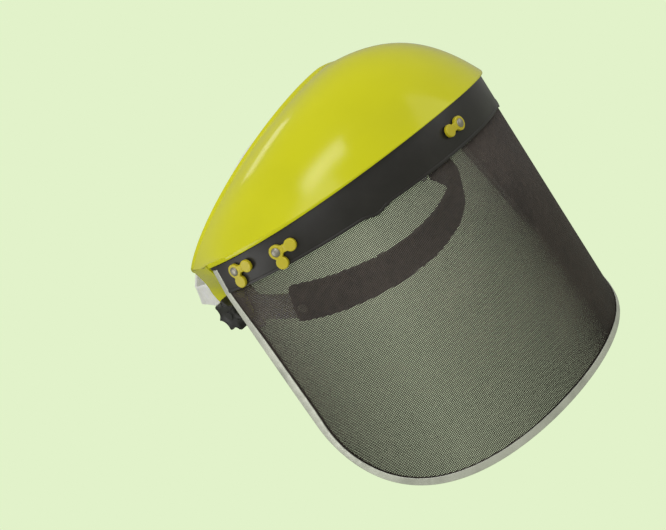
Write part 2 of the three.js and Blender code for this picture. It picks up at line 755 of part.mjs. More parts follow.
function makeFrictionWasher(sign) {
  const inner = PLATE_FACE + GAP;
  const profile = [
    [BOLT_RADIUS + GAP, inner],
    [WASHER_RADIUS, inner],
    [WASHER_RADIUS, inner + WASHER_THICKNESS],
    [BOLT_RADIUS + GAP, inner + WASHER_THICKNESS],
    [BOLT_RADIUS + GAP, inner],
  ];
  const lathe = new THREE.LatheGeometry(
    profile.map(([r, h]) => new THREE.Vector2(r, h)),
    18,
  );
  return outwards(lathe.rotateX(Math.PI / 2), sign);
}

function makeTempleKnob(sign) {
  const inner = TAB_OUT + GAP;
  const shape = lobedShape(KNOB_RADIUS, KNOB_LOBE, KNOB_LOBES);
  const knob = plateX(shape, sign, inner, inner + KNOB_THICKNESS, 1.2);
  const pocket = barX(sign * (inner - 2), sign * (inner + KNOB_THICKNESS - 2), INSERT_RADIUS + GAP, 6);
  return cut(knob, pocket);
}

function makeKnobInsert(sign) {
  const inner = TAB_OUT + 2 * GAP;
  const outer = TAB_OUT + KNOB_THICKNESS - 2.2;
  const hex = barX(sign * inner, sign * outer, INSERT_RADIUS, 6);
  return cut(hex, barX(sign * (inner - 2), sign * (outer + 2), BOLT_RADIUS + GAP, 16));
}

// Rear straps and adjuster.

function strapFrames(layer) {
  const plate = HEAD_HALF_WIDTH - HEADBAND_THICKNESS / 2 - GAP - STRAP_THICKNESS / 2;
  const back = REAR_Y + layer;
  const curve = new THREE.CatmullRomCurve3(
    [
      [plate, STRAP_FRONT_Y],
      [plate, STRAP_FRONT_Y + 9],
      [plate, STRAP_FRONT_Y + 19],
      [plate - 3.5, 46],
      [plate - 12, 66],
      [plate - 27, 86],
      [plate - 45, back - 2.2],
      [46, back],
      [38, back],
      [20, back],
      [0, back],
      [-STRAP_TIP, back],
    ].map(([x, y]) => vec(x, y, 0)),
  );
  return steps(0, 1, 34).map((part) => {
    const along = curve.getTangentAt(part);
    return { at: curve.getPointAt(part), out: vec(along.y, -along.x, 0) };
  });
}

const strapDrop = ({ at }) => -REAR_DROP * smooth(at.y, STRAP_FRONT_Y + 12, REAR_Y - 4);

// The window in a strap: rack teeth along its upper edge, a plain lower edge.
function rackWindow() {
  const pitch = (2 * Math.PI * PINION_PITCH_RADIUS) / PINION_TEETH;
  const start = -2 * pitch;
  const end = 6.5 * pitch;
  const outline = [
    [start, -RACK_ROOT],
    [end, -RACK_ROOT],
    [end, RACK_ROOT],
  ];
  for (let tooth = 5.5; tooth > -1.6; tooth -= 1) {
    const x = tooth * pitch;
    outline.push([x + 0.8, RACK_ROOT], [x, RACK_TIP], [x - 0.8, RACK_ROOT]);
  }
  outline.push([start, RACK_ROOT]);
  return new THREE.Shape(outline.map(([x, z]) => new THREE.Vector2(x, z)));
}

// The right strap is the outer one, and its rack is on the lower edge.
function makeRearStrap(sign) {
  const isLeft = sign > 0;
  const halfHeight = ({ at }) => STRAP_HALF_HEIGHT + 1.5 * (1 - smooth(at.y, 20, 70));
  const strap = ribbon(strapFrames(isLeft ? 0 : STRAP_LAYER), STRAP_THICKNESS, halfHeight, strapDrop);
  const cutter = plateY(rackWindow(), REAR_Y - 5, REAR_Y + 8);
  const window = isLeft ? cutter : flipped(cutter.scale(1, 1, -1));
  const racked = cut(strap, window.translate(0, 0, -REAR_DROP));
  return isLeft ? racked : mirrored(racked);
}

// A geometry's faces turned round, after a mirroring.
function flipped(geometry) {
  const plain = geometry.index ? geometry.toNonIndexed() : geometry;
  const position = plain.attributes.position;
  const points = steps(0, position.count - 1, position.count - 1).map((i) =>
    new THREE.Vector3().fromBufferAttribute(position, Math.round(i)),
  );
  for (let i = 0; i < points.length; i += 3) {
    [points[i + 1], points[i + 2]] = [points[i + 2], points[i + 1]];
  }
  return new THREE.BufferGeometry().setFromPoints(points);
}

const mirrored = (geometry) => flipped(geometry.scale(-1, 1, 1));

const screwHoles = (from) =>
  SIDES.map(({ sign }) => barY(from, HOUSING_REAR_Y + 6, SCREW_RADIUS + GAP, 12, sign * SCREW_X, SCREW_Z));

function makeRatchetHousing() {
  const outline = roundedRectangle(HOUSING_HALF_WIDTH, HOUSING_HALF_HEIGHT, 6);
  const channel = block(
    [-HOUSING_HALF_WIDTH - 5, REAR_Y - STRAP_THICKNESS / 2 - 0.5, -STRAP_HALF_HEIGHT - 0.5],
    [HOUSING_HALF_WIDTH + 5, HOUSING_REAR_Y + 5, STRAP_HALF_HEIGHT + 0.5],
  );
  const body = plateY(outline, HOUSING_FRONT_Y, HOUSING_REAR_Y);
  return cut(body, channel, ...screwHoles(HOUSING_FRONT_Y + 2)).translate(0, 0, -REAR_DROP);
}

function makeRatchetCover() {
  const front = HOUSING_REAR_Y + GAP;
  const outline = roundedRectangle(HOUSING_HALF_WIDTH, HOUSING_HALF_HEIGHT, 6);
  const plate = plateY(outline, front, front + COVER_THICKNESS, 0.8);
  const shaftHole = barY(front - 2, front + 5, SHAFT_RADIUS + GAP);
  return cut(plate, shaftHole, ...screwHoles(front - 2)).translate(0, 0, -REAR_DROP);
}

function makeCoverScrew(sign) {
  const face = HOUSING_REAR_Y + COVER_THICKNESS + 2 * GAP;
  const shank = barY(HOUSING_FRONT_Y + 2.6, face + 0.2, SCREW_RADIUS, 12);
  const head = barY(face, face + 1.2, 2.3);
  const slot = block([-1.6, face + 0.6, -0.35], [1.6, face + 2, 0.35]);
  return cut(union(shank, head), slot).translate(sign * SCREW_X, 0, SCREW_Z - REAR_DROP);
}

function makeRatchetPinion() {
  const tooth = [
    [-3, PINION_OUTER_RADIUS],
    [3, PINION_OUTER_RADIUS],
    [15, PINION_ROOT_RADIUS],
    [30, PINION_ROOT_RADIUS],
  ];
  const points = steps(0, 360, PINION_TEETH).slice(0, -1).flatMap((turn) =>
    tooth.map(([more, r]) => {
      const angle = radians(turn + more);
      return new THREE.Vector2(r * Math.cos(angle), r * Math.sin(angle));
    }),
  );
  const gear = plateY(new THREE.Shape(points), REAR_Y - 1, REAR_Y + 3.2);
  const shaft = barY(REAR_Y + 3, HOUSING_REAR_Y + COVER_THICKNESS + 7.5, SHAFT_RADIUS);
  return union(gear, shaft).translate(0, 0, -REAR_DROP);
}

function makeRatchetKnob() {
  const front = HOUSING_REAR_Y + COVER_THICKNESS + 2 * GAP + 1.6;
  const knob = plateY(lobedShape(RATCHET_KNOB_RADIUS, 0.7, 12), front, front + RATCHET_KNOB_DEPTH, 1.6);
  const bore = barY(front - 2, front + 6.6, SHAFT_RADIUS + GAP);
  return cut(knob, bore).translate(0, 0, -REAR_DROP);
}

function makeNapePad() {
  const rear = HOUSING_FRONT_Y - GAP;
  const outline = roundedRectangle(HOUSING_HALF_WIDTH - 1, HOUSING_HALF_HEIGHT + 2, 7);
  return plateY(outline, rear - NAPE_PAD_THICKNESS, rear, 2).translate(0, 0, -REAR_DROP);
}

// Crown strap.

// One half of the arch, from its foot on the temple plate to past the middle, drawn at x > 0.
function crownFrames(inset, lap) {
  const foot = HEAD_HALF_WIDTH - HEADBAND_THICKNESS / 2 - GAP - CROWN_THICKNESS / 2;
  const rise = CROWN_TOP - CROWN_SHOULDER_Z - inset;
  const end = 90 + THREE.MathUtils.radToDeg(Math.asin((lap / foot) ** 1.15));
  const turns = steps(0, end, 20).map(radians);
  const power = (value) => Math.sign(value) * Math.abs(value) ** (1 / 1.15);
  const arch = turns.map((turn) =>
    vec(foot * power(Math.cos(turn)), 0, CROWN_SHOULDER_Z + rise * power(Math.sin(turn))),
  );
  const shin = vec(foot, 0, (CROWN_FOOT_Z + CROWN_SHOULDER_Z) / 2);
  const points = [vec(foot, 0, CROWN_FOOT_Z), shin, ...arch];
  return points.map((at, i) => {
    const before = points[Math.max(i - 1, 0)];
    const after = points[Math.min(i + 1, points.length - 1)];
    const along = after.clone().sub(before).normalize();
    return { at, out: vec(along.z, 0, -along.x) };
  });
}

function crownHalf(inset, lap) {
  const frames = crownFrames(inset, lap);
  const face = (out) =>
    frames.map(({ at, out: normal }) =>
      [-CROWN_HALF_WIDTH, CROWN_HALF_WIDTH].map((y) => at.clone().addScaledVector(normal, out).setY(y)),
    );
  return slab(face(CROWN_THICKNESS / 2), face(-CROWN_THICKNESS / 2));
}

function barZ(from, to, radius, x) {
  const bar = new THREE.CylinderGeometry(radius, radius, to - from, 10);
  return bar.rotateX(Math.PI / 2).translate(x, 0, (from + to) / 2);
}

function makeCrownStrap(sign) {
  const rivetHole = templeBore(1, PIN_RADIUS + GAP, CROWN_RIVET_Z);
  if (sign > 0) {
    const holes = [-2, -1, 0, 1].map((i) => barZ(80, 110, PEG_RADIUS + GAP, i * PEG_PITCH));
    return cut(crownHalf(0, CROWN_LAP), rivetHole, ...holes);
  }
  const inset = CROWN_THICKNESS + GAP + 0.2;
  const half = mirrored(cut(crownHalf(inset, CROWN_LAP - 4), rivetHole));
  const pegs = [0, -1].map((i) => barZ(CROWN_TOP - inset - 0.5, CROWN_TOP + 2, PEG_RADIUS, i * PEG_PITCH));
  return union(half, ...pegs);
}

function makeCrownRivet(sign) {
  const inside = PLATE_FACE - HEADBAND_THICKNESS - 2 * GAP - CROWN_THICKNESS - 0.1;
  const rivet = outwards(rivetAlongZ(inside, PLATE_FACE + 0.2, PIN_RADIUS, PIN_HEAD_RADIUS, 1), sign);
  return rivet.translate(0, 0, CROWN_RIVET_Z);
}

// Materials.

const material = (color, roughness, metalness = 0) =>
  new THREE.MeshStandardMaterial({ color, roughness, metalness });

const yellowPlastic = material("#cdd21e", 0.25);
const blackPlastic = material("#2f2e2a", 0.45);
const palePlastic = material("#cfcabb", 0.5);
const blackMesh = material("#3a3733", 0.6, 0.4);
const brightMetal = material("#c9ccc4", 0.3, 1);
const greyMetal = material("#9a9a92", 0.4, 1);
const brass = material("#b59a4a", 0.35, 1);
const darkFoam = material("#24231f", 0.9);

// Assembly.

const faceShield = new THREE.Group();
const headgear = new THREE.Group();
headgear.rotation.x = radians(PITCH);
faceShield.add(headgear);

function place(parent, name, geometry, finish) {
  const mesh = new THREE.Mesh(geometry, finish);
  mesh.name = name;
  parent.add(mesh);
}

place(faceShield, "brow_guard", makeBrowGuard(), yellowPlastic);
place(faceShield, "visor_mesh", makeVisorMesh(), blackMesh);
place(faceShield, "visor_edge_binding", makeEdgeBinding(), brightMetal);
place(faceShield, "visor_top_band", makeTopBand(), blackPlastic);
place(faceShield, "visor_backing_band", makeBackingBand(), blackPlastic);
for (const button of BUTTONS) {
  place(faceShield, `turn_button_${button.name}`, makeTurnButton(button), yellowPlastic);
  place(faceShield, `button_pin_${button.name}`, makeButtonPin(button), greyMetal);
}

place(headgear, "headband", makeHeadband(), palePlastic);
place(headgear, "sweatband", makeSweatband(), darkFoam);
place(headgear, "ratchet_housing", makeRatchetHousing(), palePlastic);
place(headgear, "ratchet_cover", makeRatchetCover(), palePlastic);
place(headgear, "ratchet_pinion", makeRatchetPinion(), blackPlastic);
place(headgear, "ratchet_knob", makeRatchetKnob(), blackPlastic);
place(headgear, "nape_pad", makeNapePad(), darkFoam);
for (const { name, sign } of SIDES) {
  place(headgear, `sweatband_rivet_${name}`, makeSweatbandRivet(sign), greyMetal);
  place(headgear, `pivot_bolt_${name}`, makePivotBolt(sign), greyMetal);
  place(headgear, `friction_washer_${name}`, makeFrictionWasher(sign), blackPlastic);
  place(headgear, `temple_knob_${name}`, makeTempleKnob(sign), blackPlastic);
  place(headgear, `knob_insert_${name}`, makeKnobInsert(sign), brass);
  place(headgear, `rear_strap_${name}`, makeRearStrap(sign), palePlastic);
  place(headgear, `cover_screw_${name}`, makeCoverScrew(sign), greyMetal);
  place(headgear, `crown_strap_${name}`, makeCrownStrap(sign), palePlastic);
  place(headgear, `crown_rivet_${name}`, makeCrownRivet(sign), palePlastic);
}

export default faceShield;
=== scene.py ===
"""Looks for the face shield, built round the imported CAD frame. Millimetres inside, metres in Blender."""

import math

import bmesh
import bpy
import numpy as np
from mathutils import Matrix, Vector
from mathutils.bvhtree import BVHTree


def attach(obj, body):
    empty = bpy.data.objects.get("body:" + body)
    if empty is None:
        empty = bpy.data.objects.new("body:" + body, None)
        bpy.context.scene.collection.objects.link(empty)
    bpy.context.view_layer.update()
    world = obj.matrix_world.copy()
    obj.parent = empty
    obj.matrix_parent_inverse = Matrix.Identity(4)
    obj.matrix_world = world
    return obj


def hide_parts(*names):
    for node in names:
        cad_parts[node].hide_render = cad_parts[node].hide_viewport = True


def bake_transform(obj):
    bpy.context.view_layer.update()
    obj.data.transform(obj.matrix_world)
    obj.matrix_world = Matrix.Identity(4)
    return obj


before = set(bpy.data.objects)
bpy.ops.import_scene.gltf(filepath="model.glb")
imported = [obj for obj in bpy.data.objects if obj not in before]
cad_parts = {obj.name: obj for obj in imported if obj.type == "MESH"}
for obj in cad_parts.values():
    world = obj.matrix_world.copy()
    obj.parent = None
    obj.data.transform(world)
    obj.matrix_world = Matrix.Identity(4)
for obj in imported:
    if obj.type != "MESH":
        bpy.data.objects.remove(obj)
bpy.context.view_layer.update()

MM = 0.001
LEFT, RIGHT = 1, -1
SIDE_NAMES = {LEFT: "left", RIGHT: "right"}

# The CAD part's dimensions, in millimetres.
GAP = 0.3
PLAN_BACK_Y, PLAN_HALF_WIDTH, PLAN_DEPTH = -27.0, 127.4, 121.5
FLARE, TUCK = 0.106, -0.016
SHEET_THICKNESS, SHEET_HANG, SIDE_SLANT = 0.8, 173.8, 0.165
CORNER_START, CORNER_ACROSS, CORNER_DOWN = 101.3, 4.43, 1.92
BAND_BOTTOM_Z, BAND_THICKNESS, BACKING_BOTTOM_Z = 18.2, 1.0, 20.5
SCALLOP_DROP, SCALLOP_ANGLE, SCALLOP_SPREAD = 2.2, 35.0, 2.6
BINDING_OUT, BINDING_IN, BINDING_HALF_THICKNESS, BINDING_TOP_Z = 1.0, 4.2, 1.3, 34.6
LIP_HALF_WIDTH, LIP_DEPTH, LIP_THICKNESS = 128.8, 125.7, 1.3
LIP_FRONT_Z, LIP_TEMPLE_Z = 43.9, 37.7
LIP_FRONT_HEIGHT, LIP_TEMPLE_HEIGHT = 0.6, 3.0
RIM_HALF_WIDTH, RIM_TEMPLE, RIM_TOP = 116.7, (9.4, 38.0), (-74.4, 102.8)
RIM_RISE, RIM_SPREAD, DOME_FULLNESS = 1.18, 1.28, 3.08
SHELL_THICKNESS, RIM_BEAD = 2.3, 1.9
FLANGE_OUT, FLANGE_THICKNESS, FLANGE_BOTTOM_Z = 2.0, 2.4, 20.0
TAB_OUT, TAB_THICKNESS, TAB_RADIUS, TAB_KNEE_Z = 109.2, 2.5, 11.5, 13.0
TAB_HEEL, TAB_HEEL_SPREAD, TAB_LEAN, TAB_CLIMB = 6.8, 10.0, 9.0, 2.2
WASHER_THICKNESS, WASHER_RADIUS, BOLT_RADIUS, BOLT_HEAD_RADIUS = 1.5, 10.0, 3.0, 8.0
KNOB_RADIUS, KNOB_LOBE, KNOB_LOBES, KNOB_THICKNESS = 11.4, 1.6, 7, 11.0
PITCH = math.radians(22)
PLATE_FACE = TAB_OUT - TAB_THICKNESS - WASHER_THICKNESS - 2 * GAP
HEADBAND_THICKNESS = 2.0
HEAD_HALF_WIDTH = PLATE_FACE - HEADBAND_THICKNESS / 2
HEAD_FRONT, PLATE_FLAT_Y, HEADBAND_HALF_HEIGHT, PLATE_HALF_HEIGHT = 89.0, -10.5, 9.5, 18.0
HEAD_DEPTH = HEAD_FRONT + PLATE_FLAT_Y
PLATE_FRONT_Y, PLATE_REAR_Y = -17.0, 30.0
SWEATBAND_HALF_HEIGHT, SWEATBAND_OUT, SWEATBAND_IN = 14.6, 2.9, 7.6
SWEATBAND_ENDS = {RIGHT: -69.0, LEFT: 81.0}
SWEATBAND_RIVET_INSET, SWEATBAND_RIVET_Z = 4.5, -1.5
REAR_Y, REAR_DROP, STRAP_THICKNESS, STRAP_LAYER, STRAP_HALF_HEIGHT = 103.5, 25.0, 1.6, 2.1, 7.5
STRAP_FRONT_Y, STRAP_TIP = 13.0, 12.0
HOUSING_HALF_WIDTH, HOUSING_HALF_HEIGHT, HOUSING_CORNER = 31.0, 13.5, 6.0
HOUSING_FRONT_Y, HOUSING_REAR_Y, COVER_THICKNESS = 99.2, 107.2, 2.6
SCREW_X, SCREW_Z, RATCHET_KNOB_RADIUS, RATCHET_KNOB_DEPTH = 26.0, 10.8, 15.5, 10.0
NAPE_PAD_THICKNESS = 7.0
CROWN_TOP, CROWN_THICKNESS, CROWN_HALF_WIDTH = 96.0, 1.6, 8.0
CROWN_FOOT_Z, CROWN_RIVET_Z, CROWN_SHOULDER_Z, CROWN_LAP = 9.0, 13.4, 22.0, 20.0
CROWN_SQUARENESS, PEG_RADIUS, PEG_PITCH = 1.15, 1.6, 7.0
BUTTON_ARM, BUTTON_SHORT_ARM, BUTTON_THICKNESS = 10.5, 7.4, 2.4
BUTTON_HUB_RADIUS, BUTTON_LOBE_RADIUS, BUTTON_NECK = 4.6, 4.0, 2.4
PIN_RADIUS, PIN_HEAD_RADIUS = 1.9, 2.9
DOWN = -90
# Each button's name, its turn from the front in degrees, its height, and the turns of its arms.
BUTTONS = [
    ("1", -80.0, 29.7, (0, DOWN)),
    ("2", -64.5, 28.7, (0, DOWN)),
    ("3", 0.0, 31.7, (180,)),
    ("4", 64.5, 28.7, (180, DOWN)),
    ("5", 80.0, 29.7, (180, DOWN)),
]
RACK_PITCH = math.pi  # of the straps' teeth, for a pinion of 8 teeth on a 4 mm radius
TOOTH_HALF_WIDTH, TOOTH_HEIGHT, WINDOW_HALF_HEIGHT = 0.8, 1.25, 5.6
UP = np.array([0, 0, 1.0])


# ---- numbers and points


def point(x, y, z):
    """Arrays of x, y and z as an array of points."""
    return np.stack(np.broadcast_arrays(x, y, z), axis=-1).astype(float)


def unit(v):
    return v / np.maximum(np.linalg.norm(v, axis=-1, keepdims=True), 1e-12)


def smooth_step(x, low, high):
    t = np.clip((np.asarray(x, float) - low) / (high - low), 0, 1)
    return t * t * (3 - 2 * t)


PITCHED = np.eye(4)
PITCHED[1:3, 1:3] = [[math.cos(PITCH), -math.sin(PITCH)], [math.sin(PITCH), math.cos(PITCH)]]


def through(matrix, points):
    return points @ matrix[:3, :3].T + matrix[:3, 3]


def pitched(points):
    """From the headgear's level frame to the row's frame."""
    return through(PITCHED, points)


def level(points):
    """From the row's frame back to the headgear's level frame."""
    return points @ PITCHED[:3, :3]


def length_along(points):
    """Each point's distance from the first one, along the line through them."""
    return np.concatenate([[0], np.cumsum(np.linalg.norm(np.diff(points, axis=0), axis=1))])


def full_turn(steps):
    """Even turns round a circle, without the last one."""
    return np.linspace(0, 2 * math.pi, steps, endpoint=False)


def round_corners(points, radii, cuts=3):
    """A closed outline with each corner of a given radius rounded. The points are (..., corners, dims)."""
    count = points.shape[-2]
    out = []
    for i in range(count):
        here, radius = points[..., i, :], radii[i]
        if radius <= 0:
            out.append(here)
            continue
        ends = []
        for other in (points[..., i - 1, :], points[..., (i + 1) % count, :]):
            way = other - here
            length = np.linalg.norm(way, axis=-1, keepdims=True)
            ends.append(here + way * np.minimum(radius / np.maximum(length, 1e-9), 0.48))
        for t in np.linspace(0, 1, cuts + 1):
            out.append((1 - t) ** 2 * ends[0] + 2 * t * (1 - t) * here + t * t * ends[1])
    return np.stack(out, axis=-2)


def rounded_box(half_u, half_v, radius, cuts=3):
    corners = np.array([[-1, -1], [1, -1], [1, 1], [-1, 1]]) * (half_u, half_v)
    return round_corners(corners, [radius] * 4, cuts)


# ---- meshes


def add_object(name, data):
    obj = bpy.data.objects.new(name, data)
    bpy.context.scene.collection.objects.link(obj)
    return obj


def make_mesh(name, points, faces, finish, sharp=40):
    """A smooth-shaded object, with sharp edges where two faces meet at more than sharp degrees."""
    mesh = bpy.data.meshes.new(name)
    mesh.from_pydata((np.asarray(points, float) * MM).tolist(), [], faces)
    mesh.validate()
    bm = bmesh.new()
    bm.from_mesh(mesh)
    bmesh.ops.recalc_face_normals(bm, faces=bm.faces)
    for face in bm.faces:
        face.smooth = True
    for edge in bm.edges:
        if len(edge.link_faces) == 2 and edge.calc_face_angle(0) > math.radians(sharp):
            edge.smooth = False
    bm.to_mesh(mesh)
    bm.free()
    mesh.materials.append(finish)
    return add_object(name, mesh)


def quads(a, b, size):
    """Faces between two rings of points, whose first points have the indices a and b."""
    return [(a + i, a + (i + 1) % size, b + (i + 1) % size, b + i) for i in range(size)]


def loft_data(rings):
    """Points and faces of a solid through rings, an array of (rings, points, 3), closed at both ends."""
    count, size = rings.shape[:2]
    last = (count - 1) * size
    faces = [face for r in range(count - 1) for face in quads(r * size, (r + 1) * size, size)]
    faces += [tuple(reversed(range(size))), tuple(range(last, last + size))]
    return rings.reshape(-1, 3), faces


def joined(parts):
    """Several (points, faces) as one."""
    points, faces, start = [], [], 0
    for p, f in parts:
        points.append(p)
        faces += [tuple(start + i for i in face) for face in f]
        start += len(p)
    return np.vstack(points), faces


def lathe_data(profile, matrix, segments=40):
    """A solid turned about +Z from (radius, height) pairs whose ends are on the axis."""
    turns = full_turn(segments)
    rows = [point(r * np.cos(turns), r * np.sin(turns), h) for r, h in profile[1:-1]]
    points = np.vstack([[0, 0, profile[0][1]], *rows, [0, 0, profile[-1][1]]])
    starts = [1 + r * segments for r in range(len(rows))]
    faces = [face for a, b in zip(starts, starts[1:]) for face in quads(a, b, segments)]
    for i in range(segments):
        j = (i + 1) % segments
        faces += [(0, 1 + j, 1 + i), (starts[-1] + i, starts[-1] + j, len(points) - 1)]
    return through(matrix, points), faces


def layered_data(outline, levels, matrix):
    """An outline in x and y, stacked at (inset, height) levels along +Z, each inset moving it inwards."""
    ahead = np.roll(outline, -1, axis=0) - outline
    behind = outline - np.roll(outline, 1, axis=0)
    along = unit(unit(ahead) + unit(behind))
    inward = np.stack([-along[:, 1], along[:, 0]], axis=1)
    rings = [point(*(outline + inward * inset).T, height) for inset, height in levels]
    return loft_data(through(matrix, np.array(rings)))


def frame_matrix(side, up, out, at):
    matrix = np.eye(4)
    matrix[:3, :3] = np.stack([side, up, out], axis=1)
    matrix[:3, 3] = at
    return matrix


def outwards(sign, z=0.0):
    """Turns +Z outwards along X at one temple, in the headgear's frame."""
    return frame_matrix([0, sign, 0], UP, [sign, 0, 0], [0, 0, z])


def backwards(x=0.0, z=-REAR_DROP):
    """Turns +Z backwards along Y at the ratchet, in the headgear's frame."""
    return frame_matrix([-1, 0, 0], UP, [0, 1, 0], [x, 0, z])


def dome_head(radius, height, steps=6):
    """The rounded top of a rivet's head, as (radius, height) pairs from its rim to the axis."""
    turns = np.linspace(0, math.pi / 2, steps + 1)
    return [(radius * math.cos(t), height * math.sin(t)) for t in turns[:-1]] + [(0, height)]


def rivet_profile(inside, outside, radius, head_radius, head_height):
    """A rivet with a domed head at each end, whose heads bear on the heights inside and outside."""
    lower = [(r, inside - h) for r, h in reversed(dome_head(head_radius, head_height))]
    upper = [(r, outside + h) for r, h in dome_head(head_radius, head_height)]
    shank = [(head_radius, inside), (radius, inside), (radius, outside), (head_radius, outside)]
    return [*lower, *shank, *upper]


# ---- materials


class Nodes:
    """A short way to write a material's nodes."""

    def __init__(self, name):
        self.material = bpy.data.materials.new(name)
        self.material.use_nodes = True
        self.tree = self.material.node_tree
        self.tree.nodes.clear()
        self.output = self.add("ShaderNodeOutputMaterial")
        self.shader = self.add("ShaderNodeBsdfPrincipled")
        self.link(self.shader.outputs["BSDF"], self.output.inputs["Surface"])
        self.coordinates = self.add("ShaderNodeTexCoord").outputs["Object"]

    def add(self, kind, **values):
        node = self.tree.nodes.new(kind)
        for key, value in values.items():
            setattr(node, key, value)
        return node

    def link(self, a, b):
        self.tree.links.new(a, b)

    def noise(self, scale, detail=4.0, roughness=0.55, stretch=(1, 1, 1)):
        mapping = self.add("ShaderNodeMapping")
        mapping.inputs["Scale"].default_value = stretch
        self.link(self.coordinates, mapping.inputs["Vector"])
        texture = self.add("ShaderNodeTexNoise")
        texture.inputs["Scale"].default_value = scale
        texture.inputs["Detail"].default_value = detail
        texture.inputs["Roughness"].default_value = roughness
        self.link(mapping.outputs["Vector"], texture.inputs["Vector"])
        return texture.outputs["Fac"]

    def cells(self, scale):
        texture = self.add("ShaderNodeTexVoronoi")
        texture.inputs["Scale"].default_value = scale
        self.link(self.coordinates, texture.inputs["Vector"])
        return texture.outputs["Distance"]

    def mottle(self, source, color, *stops):
        """Colours the surface from a source, through three stops of (position, share of the colour)."""
        node = self.add("ShaderNodeValToRGB")
        node.color_ramp.elements.new(0.5)
        for element, (position, share) in zip(node.color_ramp.elements, stops):
            element.position = position
            element.color = (*(c * share for c in color), 1)
        self.link(source, node.inputs["Fac"])
        self.link(node.outputs["Color"], self.shader.inputs["Base Color"])

    def span(self, source, low, high, start=0.0, end=1.0):
        node = self.add("ShaderNodeMapRange")
        for key, value in (("From Min", start), ("From Max", end), ("To Min", low), ("To Max", high)):
            node.inputs[key].default_value = value
        self.link(source, node.inputs["Value"])
        return node.outputs["Result"]

    def math(self, operation, a, b):
        node = self.add("ShaderNodeMath", operation=operation)
        for i, value in enumerate((a, b)):
            if isinstance(value, (int, float)):
                node.inputs[i].default_value = value
            else:
                self.link(value, node.inputs[i])
        return node.outputs[0]

    def bump(self, *layers):
        """Height layers of (source, strength, distance in millimetres), one over another."""
        normal = None
        for source, strength, distance in layers:
            node = self.add("ShaderNodeBump")
            node.inputs["Strength"].default_value = strength
            node.inputs["Distance"].default_value = distance * MM
            self.link(source, node.inputs["Height"])
            if normal is not None:
                self.link(normal, node.inputs["Normal"])
            normal = node.outputs["Normal"]
        self.link(normal, self.shader.inputs["Normal"])

    def set(self, **values):
        for key, value in values.items():
            self.shader.inputs[key.replace("_", " ")].default_value = value


def linear(red, green, blue):
    """A screen colour from 0 to 255 as linear light."""
    shares = (c / 255 for c in (red, green, blue))
    return tuple(((c + 0.055) / 1.055) ** 2.4 if c > 0.04 else c / 12.92 for c in shares)


def glossy_plastic(name, color, rough):
    """Injection-moulded plastic: faint flow marks, a slightly uneven gloss and fine handling scratches."""
    m = Nodes(name)
    flow = m.noise(9, 3, 0.5, (1, 1, 2.2))
    m.mottle(flow, color, (0.3, 0.93), (0.5, 1.0), (0.72, 1.05))
    scratches = m.noise(900, 2, 0.7, (1, 0.05, 0.6))
    smudges = m.noise(28, 5, 0.6)
    smudged = m.span(smudges, rough * 0.75, rough * 1.6, 0.3, 0.75)
    m.link(m.math("ADD", smudged, m.span(scratches, 0, 0.09, 0.62, 0.8)), m.shader.inputs["Roughness"])
    m.bump((m.noise(55, 2, 0.5), 0.25, 0.10), (m.noise(1400, 2, 0.6), 0.10, 0.02), (scratches, 0.05, 0.02))
    m.set(Subsurface_Weight=0.08, Subsurface_Radius=(0.004, 0.004, 0.001), Subsurface_Scale=1.0)
    return m.material


def matte_plastic(name, color, rough, grain=900, depth=0.05):
    """Moulded plastic with a spark-eroded grain, paler where it has been rubbed."""
    m = Nodes(name)
    wear = m.noise(60, 6, 0.65)
    m.mottle(wear, color, (0.3, 0.85), (0.52, 1.0), (0.8, 1.35))
    cells = m.cells(grain)
    m.link(m.span(m.noise(35, 4), rough * 0.82, rough * 1.2, 0.3, 0.7), m.shader.inputs["Roughness"])
    m.bump((cells, 0.35, depth), (m.noise(grain * 2.2, 2), 0.2, depth * 0.6))
    return m.material


def metal(name, color, rough, stretch=(1, 1, 1), shine=1.0):
    """Worked metal: drawn lines, dull patches and small dents."""
    m = Nodes(name)
    lines = m.noise(500, 3, 0.6, stretch)
    patches = m.noise(45, 5, 0.6)
    m.mottle(patches, color, (0.28, 0.78), (0.5, 1.0), (0.75, 1.12))
    dull = m.span(patches, rough * 0.8, rough * 1.3, 0.3, 0.7)
    m.link(m.math("ADD", dull, m.span(lines, 0, 0.12, 0.4, 0.8)), m.shader.inputs["Roughness"])
    m.bump((m.noise(160, 2), 0.25, 0.12), (lines, 0.18, 0.02))
    m.set(Metallic=shine)
    return m.material


def wire_finish(name, color):
    """Black-coated wire: the coat is uneven, and thin enough on the crossings to shine a little."""
    m = Nodes(name)
    coat = m.noise(220, 4, 0.6)
    broad = m.noise(14, 3, 0.5)
    mean = m.math("MULTIPLY", m.math("ADD", coat, broad), 0.5)
    m.mottle(mean, color, (0.38, 0.7), (0.5, 1.0), (0.66, 1.5))
    m.link(m.span(coat, 0.38, 0.62, 0.3, 0.7), m.shader.inputs["Roughness"])
    m.bump((m.noise(2600, 2), 0.3, 0.03))
    m.set(Metallic=0.15)
    return m.material


